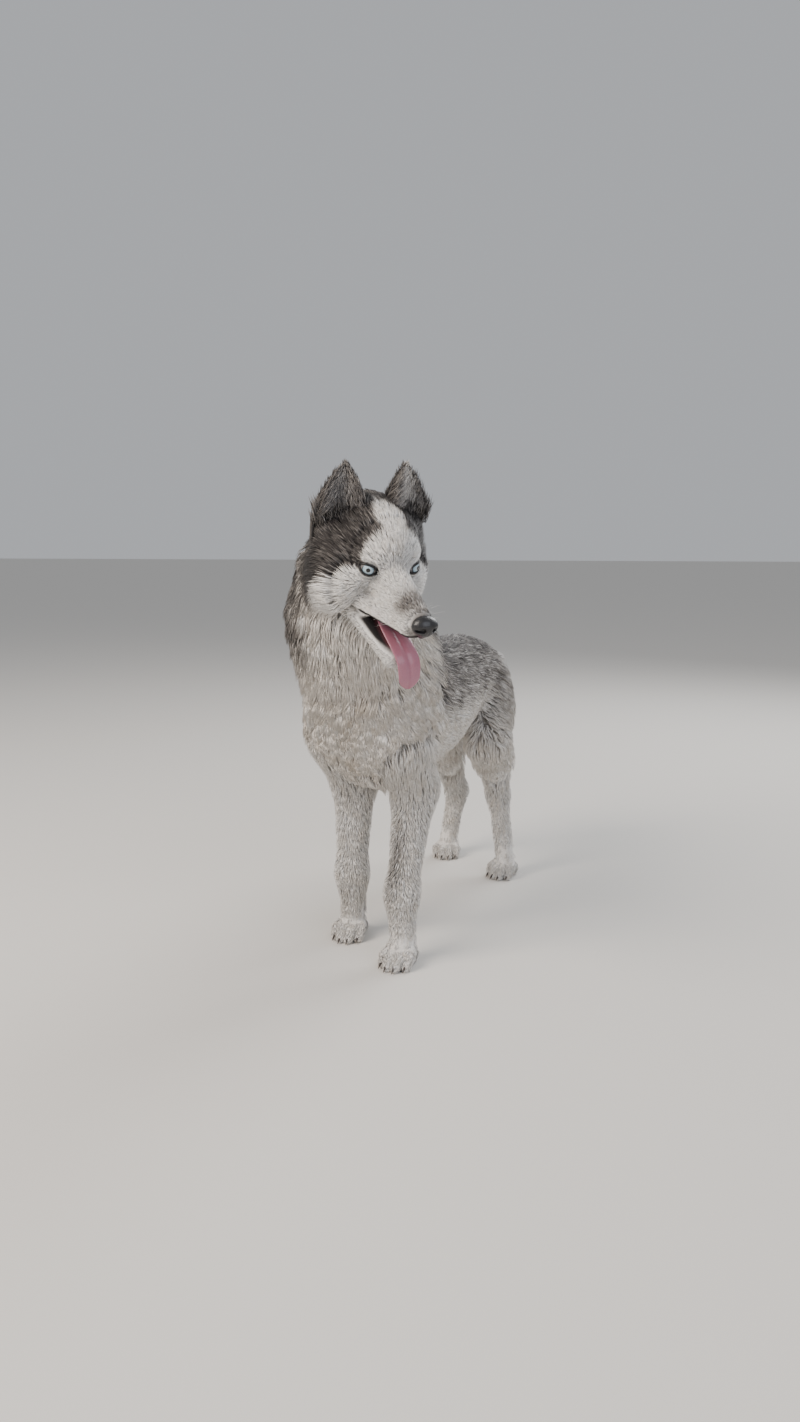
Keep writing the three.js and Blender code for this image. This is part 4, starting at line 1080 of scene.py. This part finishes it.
coatPieces = {
    "fur_face": dict(
        where=isFace, slot="white_coat", axes=headAxes, area=4.2e4, count=15500, rings=2, width=1.15,
        stretch=1.5, least=3.4, most=16, clump=7, pull=0.3, swing=0.1,
    ),
    "fur_skull": dict(
        where=isHead & ~isFace, slot="dark_coat", axes=headAxes, area=6.5e4, count=15500, rings=2, width=1.9,
        stretch=1.6, least=5, fullness=1.3, most=38, clump=10, pull=0.4, swing=0.12,
    ),
    "fur_ruff": dict(
        where=owned["neck"], slot="grey_coat", axes=neckAxes, area=1.2e5, count=11500, rings=3, width=3.0,
        stretch=1.6, most=54, clump=16, pull=0.62, wave=1.5,
    ),
    # the chest's tufts are darker still at the root, partly undercoat and partly painted shade between its locks
    "fur_chest": dict(
        where=owned["chest"], slot="white_coat", axes=chestAxes, area=9e4, count=9500, rings=3, width=2.9,
        stretch=1.8, most=46, clump=16, pull=0.68, wave=3.2, rootShade=0.62,
    ),
    "fur_back": dict(
        where=isUpperBack, slot="grey_coat", axes=trunkAxes, area=1.4e5, count=10500, rings=3, width=2.8,
        stretch=1.9, clump=13, wave=1, grizzle=0.2,
    ),
    "fur_flanks": dict(
        where=owned["trunk"] & ~isUpperBack, slot="white_coat", axes=trunkAxes, area=1.6e5, count=10800,
        rings=3, width=2.8, stretch=1.9, clump=14, wave=1, grizzle=0.2,
    ),
    "fur_thighs": dict(
        where=owned["thighs"], slot="grey_coat", axes=legAxes[2:], area=1.1e5, count=8900, rings=3, width=2.6,
        stretch=1.8, clump=13, wave=1.2,
    ),
    "fur_tail": dict(
        where=owned["tail"], slot="grey_coat", axes=tailAxes, area=4e4, count=6200, rings=3, width=3.0,
        stretch=1.6, most=56, clump=15, wave=2,
    ),
    "fur_legs": dict(
        where=owned["forelegs"] | owned["shanks"], slot="white_coat", axes=legAxes, area=9e4, count=13800,
        rings=2, width=1.7, stretch=1.9, clump=8, pull=0.35, swing=0.12,
    ),
    "fur_paws": dict(
        where=owned["paws"], slot="white_coat", axes=pawAxes, area=4e4, count=7500, rings=2, width=1.5,
        stretch=1.5, least=6.5, most=12, clump=6, pull=0.3, swing=0.12,
    ),
}
for name, look in coatPieces.items():
    growCoat(name, growing * look["where"] * (1 + faceDensity * faceward), look)


# A body of rings, each ring a row of points: three rows, one column a point
def loftFaces(rings, sides):
    ids = np.arange(rings * sides).reshape(rings, sides)
    nextIds = np.roll(ids, -1, axis=1)
    return np.stack([ids[:-1], nextIds[:-1], nextIds[1:], ids[1:]], axis=-1).reshape(-1, 4)


def capped(points, rings, sides):
    # each end is closed by drawing its last ring in to its middle
    grid = points.reshape(3, rings, sides)
    first = np.repeat(grid[:, 0].mean(axis=1)[:, None], sides, axis=1)
    last = np.repeat(grid[:, -1].mean(axis=1)[:, None], sides, axis=1)
    return np.concatenate([first, points, last], axis=1), loftFaces(rings + 2, sides)


def withEnds(colours, sides):
    # the colours of a capped body, each end like its last ring
    return np.concatenate([colours[:, :sides], colours, colours[:, -sides:]], axis=1)


def anglesRound(count):
    return [2 * math.pi * i / count for i in range(count)]


def curveThrough(path, count):
    # points and directions evenly along a smooth curve
    path = array(path)
    keys = np.concatenate([[0], np.cumsum(np.linalg.norm(np.diff(path, axis=0), axis=1))])
    at = np.linspace(0, keys[-1], count)
    points = np.stack([smoothly(at, keys, path[:, i]) for i in range(3)])
    return points, unit(np.gradient(points, axis=1))


# Ears: upright cupped shells with their openings turned forward
earLook = {"rings": 26, "steps": 18, "rootDepth": 16}


def earPoints(s):
    lean = array(ear["lean"]) * (s, 1, 1)
    lean /= np.linalg.norm(lean)
    across = turned(2, s * ear["turn"])[:3, :3] @ (1, 0, 0)
    across = across - lean * (across @ lean)
    across /= np.linalg.norm(across)
    back = np.cross(lean, across)
    rows = []
    u = np.linspace(-1, 1, earLook["steps"] + 1)
    for v in np.linspace(0, 1, earLook["rings"]):
        rise = -earLook["rootDepth"] + (ear["height"] + earLook["rootDepth"]) * math.sin(v * math.pi / 2)
        share = max(rise / ear["height"], 0)
        halfWidth = ear["halfWidth"] * (1 - min(share, 0.985) ** 1.55) ** 0.8 + 1
        cup = ear["cup"] * (1 - min(share, 0.99)) ** 0.75 + 1
        wall = ear["wall"] * (1 - 0.5 * share) * 0.8
        base = array(ear["base"]) * (s, 1, 1) + lean * rise - across * s * 5 * share * share
        for width, depth, order in ((1, wall, 1), (0.95, -wall, -1)):
            for x in u[::order]:
                place = base + across * x * halfWidth * width + back * (cup * (1 - x * x) + depth * (1 - 0.5 * x * x))
                rows.append(place)
    return placed(headFrame, np.array(rows).T), lean, across, back


earSides = 2 * (earLook["steps"] + 1)
halfEar = earSides // 2
earFur = {"count": 3700, "width": 1.6, "length": (7, 12), "innerLength": (10, 18), "fan": 420, "fanLength": (15, 30)}
# Inner face of each ear: the left keeps its pale tone, the right is painted darker, a painted shade in its cup
earInsideToneAndShade = {"left": 0.16, "right": 0.56}
earTones = {"skinEdge": 0.85, "skinBack": 0.84, "edge": 0.88, "back": 0.86, "fan": 0.78}
earShade = 0.8
# Of each point of the shell: whether it lies on the inner face, how far up and how near the rim
earColumn = np.tile(np.arange(earSides), earLook["rings"])
isInner = earColumn >= halfEar
along = np.repeat(np.linspace(0, 1, earLook["rings"]), earSides)
edge = np.abs((earColumn % halfEar) / (halfEar - 1) * 2 - 1)


def shellTufts(points, up, aside, behind):
    # guides of the fur on both faces of an ear, their outward directions and the points of the shell they grow at
    weights = (along > 0.14).astype(float) * np.where(isInner, 1.0 + 2.6 * (along < 0.65), 0.8)
    roots, near = pickRoots(points, loftFaces(earLook["rings"], earSides), weights, earFur["count"])
    inner, rim, rise, count = isInner[near], edge[near], along[near], len(near)
    out = np.where(inner, -1, 1) * behind
    sideSign = np.sign(((roots - points.mean(axis=1)[:, None]) * aside).sum(axis=0))
    lie = up - sideSign * aside * np.where(inner, 0.55 * rim, 0.25 * rim)
    lie = unit(lie + random.normal(0, 0.14, roots.shape) + out * 0.1)
    innerLength = random.uniform(*earFur["innerLength"], count)
    length = np.where(inner, innerLength, random.uniform(*earFur["length"], count))
    length = length * np.interp(rise, [0.1, 0.3, 0.6, 1], [2.0, 1.5, 1, 0.55])
    lift = length * np.where(inner, np.interp(rise, [0.35, 0.75], [0.8, 0.22]), 0.18)
    middle = roots + lie * length * 0.5 + out * lift * 0.6
    return [roots - out * 0.5, middle, roots + lie * length + out * lift * 0.8], out, near


def fanTufts(s, lean, across, back, up, aside, behind):
    # guides of a fan of fur that rises from the skull in front of the foot of the cup
    fan = earFur["fan"]
    x = random.uniform(-0.95, 0.95, fan)
    at = (array(ear["base"]) * (s, 1, 1))[:, None] + lean[:, None] * random.uniform(2, 18, fan)
    at = at + across[:, None] * x * ear["halfWidth"] - back[:, None] * random.uniform(0, 9, fan)
    roots = placed(headFrame, at)
    lie = unit(up + aside * x * 0.35 + random.normal(0, 0.16, roots.shape))
    length = random.uniform(*earFur["fanLength"], fan)
    out = -behind * np.ones(fan)
    rises = [(0, 0), (0.5, 0.1), (1, 0.02)]
    return [roots + lie * length * a + out * length * b for a, b in rises], out, x


earGuides, earOuts, tuftTones, earIslands = [], [], [], []
for side, s in sideOf.items():
    points, *ways = earPoints(s)
    turnedWays = [turnedOnly(headFrame, way[:, None]) for way in ways]
    insideToneAndShade = earInsideToneAndShade[side]
    tone = np.where(isInner, insideToneAndShade + (earTones["skinEdge"] - insideToneAndShade) * edge**3, earTones["skinBack"])
    earColours = withEnds(furColour(tone, 0.5 * np.ones_like(tone)) * earShade, earSides)
    closed, faces = capped(points, earLook["rings"], earSides)
    piece = newMesh(f"ear_skin_{side}", closed, faces[:, ::-1], nap, earColours)
    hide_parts(f"ear_{side}")

    guides, out, near = shellTufts(points, *turnedWays)
    fanGuides, fanOut, x = fanTufts(s, *ways, *turnedWays)
    earGuides.append([np.concatenate(pair, axis=1) for pair in zip(guides, fanGuides)])
    earOuts += [out, fanOut]
    inner = isInner[near]
    uneven = random.normal(0, 1, len(near)) * np.where(inner, 0.17, 0.08)
    # tufts inside each ear take the same tones, the right ear's darkened as painted shade
    insideTuftToneAndShade = insideToneAndShade + (earTones["edge"] - insideToneAndShade) * edge[near] ** 3
    tuftTones.append(np.where(inner, insideTuftToneAndShade, earTones["back"]) + uneven)
    tuftTones.append(earTones["fan"] + 0.12 * random.normal(0, 1, len(x)))
    island = 0 if s > 0 else 2
    mapAcross = (island + inner + 0.05 + 0.9 * (earColumn[near] % halfEar) / halfEar) / 4
    earIslands.append(np.stack([mapAcross, 0.05 + 0.9 * along[near]]))
    earIslands.append(np.stack([(island + 1.5 + 0.44 * x) / 4, np.full(len(x), 0.03)]))
guides = [np.concatenate([each[k] for each in earGuides], axis=1) for k in range(3)]
count = guides[0].shape[1]
widths = earFur["width"] * random.uniform(0.7, 1.3, count)
blades = bladesFrom(guides, [np.concatenate(earOuts, axis=1)] * 3, widths, flatness=0.6)
colours = furColour(np.clip(np.concatenate(tuftTones), 0, 1), 0.4 * np.ones(count)) * random.uniform(0.85, 1.1, count)
colours = np.repeat(colours, 2 * tuftSides + 1, axis=1)
tuftMesh("fur_ears", "dark_coat", 2, blades, colours, np.concatenate(earIslands, axis=1))


# Nose: a pad with two comma-shaped nostrils and a groove down its front
def nosePad(p):
    q = placed(toHead, p)
    pad = melded(4, egg(q, nose["place"], nose["radii"]), limb(q, (0, -90, -30), (0, -86, -38), 6, 4))
    for s in (1, -1):
        hole = melded(2, egg(q, (s * 7, -98, -27), (3.6, 5, 3)), egg(q, (s * 11.5, -94, -28.5), (4, 4, 1.8)))
        pad = np.maximum(pad, -hole)
    groove = limb(q, (0, -101, -24), (0, -95, -42), 0.9, 0.9)
    return np.maximum(pad, -groove) * head["size"]


noseCentre = inHead(*nose["place"])
noseLines = [evenLines(noseCentre[i] - 27, noseCentre[i] + 27, 0.8) for i in range(3)]
nosePoints, noseFaces = surfaceOf(nosePad, noseLines)
nosePiece = newMesh("nose_pad", nosePoints, noseFaces, leather)
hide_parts("nose")

# Tongue: lies on the jaw and hangs over its front, with a groove down the middle
tongue = {
    "path": [(0, -6, -38), (0, -34, -37), (1, -60, -36), (4, -78, -41), (6, -90, -54), (7, -97, -68)],
    "halfWidth": 15,
    "thickness": 3.4,
    "rings": 60,
    "sides": 40,
    "groove": 1.5,
    "colour": "#96596c",
    "tip": "#a6707f",
}
centreLine, heading = curveThrough(tongue["path"], tongue["rings"])
tongueRows, tongueColours = [], []
for k in range(tongue["rings"]):
    t = k / (tongue["rings"] - 1)
    across = unit((array((1, 0, 0)) - heading[:, k] * heading[0, k])[:, None])[:, 0]
    up = np.cross(across, heading[:, k])
    up = up if up[2] > -0.2 and (t < 0.6 or up[1] < 0) else -up
    tipShare = min(max((t - 0.85) / 0.152, 0), 0.98)
    halfWidth = tongue["halfWidth"] * (0.78 + 0.22 * math.sin(math.pi * t * 0.9)) * math.sqrt(1 - tipShare**2)
    halfHeight = (tongue["thickness"] - t) * min(1, 6 * (1 - t) + 0.35)
    for angle in anglesRound(tongue["sides"]):
        x, z = math.cos(angle), math.sin(angle)
        dip = tongue["groove"] * math.exp(-((x / 0.16) ** 2)) * (1 if z > 0 else -0.4) * (1 - 0.5 * t)
        curl = 2.6 * x * x * (1 - t)
        place = centreLine[:, k] + across * halfWidth * x + up * (halfHeight * z - dip + curl)
        tongueRows.append(place)
        # the tongue grows lighter towards its tip; along the groove on top it is painted darker, a painted shade in
        # the crease
        mix = 0.35 + 0.65 * t - (0.3 if abs(x) < 0.12 and z > 0 else 0)
        tongueColours.append([a + (b - a) * mix for a, b in zip(linear(tongue["colour"]), linear(tongue["tip"]))])
tonguePoints = placed(headFrame @ jawFrame, np.array(tongueRows).T)
tongueClosed, tongueFaces = capped(tonguePoints, tongue["rings"], tongue["sides"])
shades = withEnds(np.array(tongueColours).T, tongue["sides"])
tonguePiece = newMesh("tongue_flesh", tongueClosed, tongueFaces, wetFlesh, shades)
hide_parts("tongue")

# Eyes: a ball with a pale blue iris, dark at its edge, and a raised clear front
eyeLook = {
    "pupil": 2.6,
    "iris": 6.7,
    "edge": 0.7,
    "bulge": 1.0,
    "segments": 72,
    "colours": {"pupil": "#08080a", "inner": "#c9dbe4", "outer": "#9dbdd0", "edge": "#25313c", "white": "#7d7a79"},
}
eyeRadii = [0.6, 1.4, 2.4, 2.6, 3.2, 4.0, 4.8, 5.4, 5.7, 6.2, 6.4, 7.0, 7.8, 8.6, 9.2, 9.55]


def irisShade(distance, angle):
    tones = {name: array(linear(colour)) for name, colour in eyeLook["colours"].items()}
    if distance < eyeLook["pupil"]:
        return tones["pupil"]
    if distance > eyeLook["iris"]:
        return tones["white"]
    if distance > eyeLook["iris"] - eyeLook["edge"]:
        return tones["edge"]
    t = (distance - eyeLook["pupil"]) / (eyeLook["iris"] - eyeLook["pupil"])
    streak = 0.82 + 0.18 * math.sin(angle * 23 + 3 * math.sin(angle * 7))
    return (tones["inner"] + (tones["outer"] - tones["inner"]) * t) * streak


for side, s in sideOf.items():
    rows, shades = [], []
    ballRings = [(r, -1) for r in eyeRadii] + [(r, 1) for r in eyeRadii[::-2]]
    for distance, frontOrBack in ballRings:
        depth = math.sqrt(eye["radius"] ** 2 - distance**2)
        front = max(0, 1 - (distance / eyeLook["iris"]) ** 2) * eyeLook["bulge"] if frontOrBack < 0 else 0
        for angle in anglesRound(eyeLook["segments"]):
            rows.append((distance * math.cos(angle), frontOrBack * (depth + front), distance * math.sin(angle)))
            shades.append(irisShade(distance, angle) if frontOrBack < 0 else irisShade(9, 0))
    ball = placed(headFrame @ eyeFrame(s), np.array(rows).T)
    closed, faces = capped(ball, len(ballRings), eyeLook["segments"])
    shades = withEnds(np.array(shades).T, eyeLook["segments"])
    piece = newMesh(f"eyeball_{side}", closed, faces[:, ::-1], cornea, shades)
    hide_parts(f"eye_{side}")


# Lid rims: a thin black edge round each opening, drawn out at the inner corner
lidRim = {"radius": 0.95, "stand": 1.15, "points": 64, "sides": 8, "corner": 2.6}
for side, s in sideOf.items():
    centres = []
    for angle in anglesRound(lidRim["points"]):
        x = math.cos(angle) * eye["halfWidth"] * 1.02
        z = math.sin(angle) * abs(math.sin(angle)) ** 0.35 * eye["halfHeight"] * 1.02
        inward = -s * x / eye["halfWidth"]
        x -= s * lidRim["corner"] * max(inward - 0.75, 0) * 2
        depth = math.sqrt(max((eye["radius"] + lidRim["stand"]) ** 2 - x * x - z * z, 1))
        centres.append((x, -depth, z))
    centres = np.array(centres).T
    ahead = unit(np.roll(centres, -1, axis=1) - np.roll(centres, 1, axis=1))
    outward = unit(centres)
    sideways = np.cross(ahead.T, outward.T).T
    rows = []
    for angle in anglesRound(lidRim["sides"]):
        around = math.cos(angle) * outward * 0.8 + math.sin(angle) * sideways * 1.25
        rows.append(centres + lidRim["radius"] * around)
    points = placed(headFrame @ eyeFrame(s), np.stack(rows, axis=2).reshape(3, -1))
    ids = np.arange(lidRim["points"] * lidRim["sides"]).reshape(lidRim["points"], lidRim["sides"])
    nextIds, onward = np.roll(ids, -1, axis=1), np.roll(ids, -1, axis=0)
    faces = np.stack([ids, nextIds, np.roll(onward, -1, axis=1), onward], axis=-1).reshape(-1, 4)
    newMesh(f"lid_rim_{side}", points, faces, rimSkin)
print("eyes made")

# Claws: short curved horn, one at the front of each toe
claw = {"rings": 10, "sides": 12, "width": 2.3, "height": 2.9}
clawPath = [(13.5, 0, 11), (13.7, -8, 9), (13.9, -13, 4.4)]
clawPoints, clawFaces = [], []
for each in paws:
    for i in toePlaces:
        tip = toeTip(i, each["length"])
        line, heading = curveThrough([(i * x, tip + y, z) for x, y, z in clawPath], claw["rings"])
        rows = []
        for k in range(claw["rings"]):
            t = k / (claw["rings"] - 1)
            up = unit(np.cross(heading[:, k], (1, 0, 0))[:, None])[:, 0]
            for angle in anglesRound(claw["sides"]):
                across = array((1, 0, 0)) * claw["width"] * math.cos(angle)
                rows.append(line[:, k] + (across + up * claw["height"] * math.sin(angle)) * (1 - 0.85 * t**1.5))
        closed, faces = capped(placed(pawFrame(each), np.array(rows).T), claw["rings"], claw["sides"])
        clawFaces.append(faces + sum(points.shape[1] for points in clawPoints))
        clawPoints.append(closed)
newMesh("claws", np.concatenate(clawPoints, axis=1), np.concatenate(clawFaces), horn)

# Whiskers: a few stiff pale hairs from the sides of the muzzle, sagging at their tips
whisker = {"rows": 3, "columns": 4, "length": (18, 32), "width": 0.4, "sag": 4.0, "colour": "#d9d6d2"}
roots, tips = [], []
for s in (1, -1):
    for row in range(whisker["rows"]):
        for column in range(whisker["columns"]):
            start = array((s * (15 + column * 0.8), -70 + column * 9, -24 - row * 4.5))
            sweep = array((s * 0.95, 0.3 + 0.08 * column, 0.12 - 0.12 * row)) + random.normal(0, 0.08, 3)
            roots.append(start)
            tips.append(start + sweep / np.linalg.norm(sweep) * random.uniform(*whisker["length"]))
roots, tips = placed(headFrame, np.array(roots).T), placed(headFrame, np.array(tips).T)
value, out = slopeOf(flesh, roots.astype(np.float32))
roots = roots - out * value
sag = np.array([[0], [0], [-whisker["sag"]]])
guides = [roots - out, roots + (tips - roots) * 0.4, roots + (tips - roots) * 0.75 + sag * 0.4, tips + sag]
blades = bladesFrom(guides, [out] * 4, whisker["width"] * np.ones(roots.shape[1]), flatness=1.6)
colours = np.repeat(columnOf(whisker["colour"]), blades.shape[1], axis=1)
tuftMesh("whiskers", "white_coat", 3, blades, colours, unwrapped(roots, headAxes))
print("claws made")

# Studio: pale floor, soft lights, and the camera where the photographer stood
floorReach = 60
floorMesh = bpy.data.meshes.new("floor")
corners = [(x * floorReach, y * floorReach, 0) for x, y in ((-1, -1), (1, -1), (1, 1), (-1, 1))]
floorMesh.from_pydata(corners, [], [(0, 1, 2, 3)])
floorMesh.materials.append(board)
floor = bpy.data.objects.new("floor", floorMesh)
bpy.context.collection.objects.link(floor)

world = bpy.data.worlds.new("studio")
bpy.context.scene.world = world
world.use_nodes = True
world.node_tree.nodes["Background"].inputs["Color"].default_value = (*linear("#e6e9ee"), 1)
world.node_tree.nodes["Background"].inputs["Strength"].default_value = 0.58

lights = {
    "key": {"place": (-1.6, -2.6, 2.6), "size": 2.2, "watts": 165, "colour": "#fff3e6"},
    "fill": {"place": (2.6, -1.8, 1.6), "size": 2.4, "watts": 40, "colour": "#eef3ff"},
    "back": {"place": (0.8, 2.4, 2.4), "size": 1.8, "watts": 70, "colour": "#ffffff"},
}
aim = Vector((0, 0, 0.4))
for name, each in lights.items():
    lamp = bpy.data.lights.new(name, "AREA")
    lamp.size = each["size"]
    lamp.energy = each["watts"]
    lamp.color = linear(each["colour"])
    holder = bpy.data.objects.new(name, lamp)
    holder.location = each["place"]
    holder.rotation_euler = (aim - Vector(each["place"])).to_track_quat("-Z", "Y").to_euler()
    bpy.context.collection.objects.link(holder)

view = {"place": (654, -1712, 640), "heading": (-0.386, 0.922), "dip": 8.8, "lens": 26.33}
camera = bpy.data.cameras.new("camera")
camera.lens = view["lens"]
cameraHolder = bpy.data.objects.new("camera", camera)
cameraHolder.location = Vector((array(view["place"]) + shift) / 1000)
lookAlong = Vector((*view["heading"], -math.tan(math.radians(view["dip"]))))
cameraHolder.rotation_euler = lookAlong.to_track_quat("-Z", "Y").to_euler()
bpy.context.collection.objects.link(cameraHolder)
bpy.context.scene.camera = cameraHolder

print("husky finished")
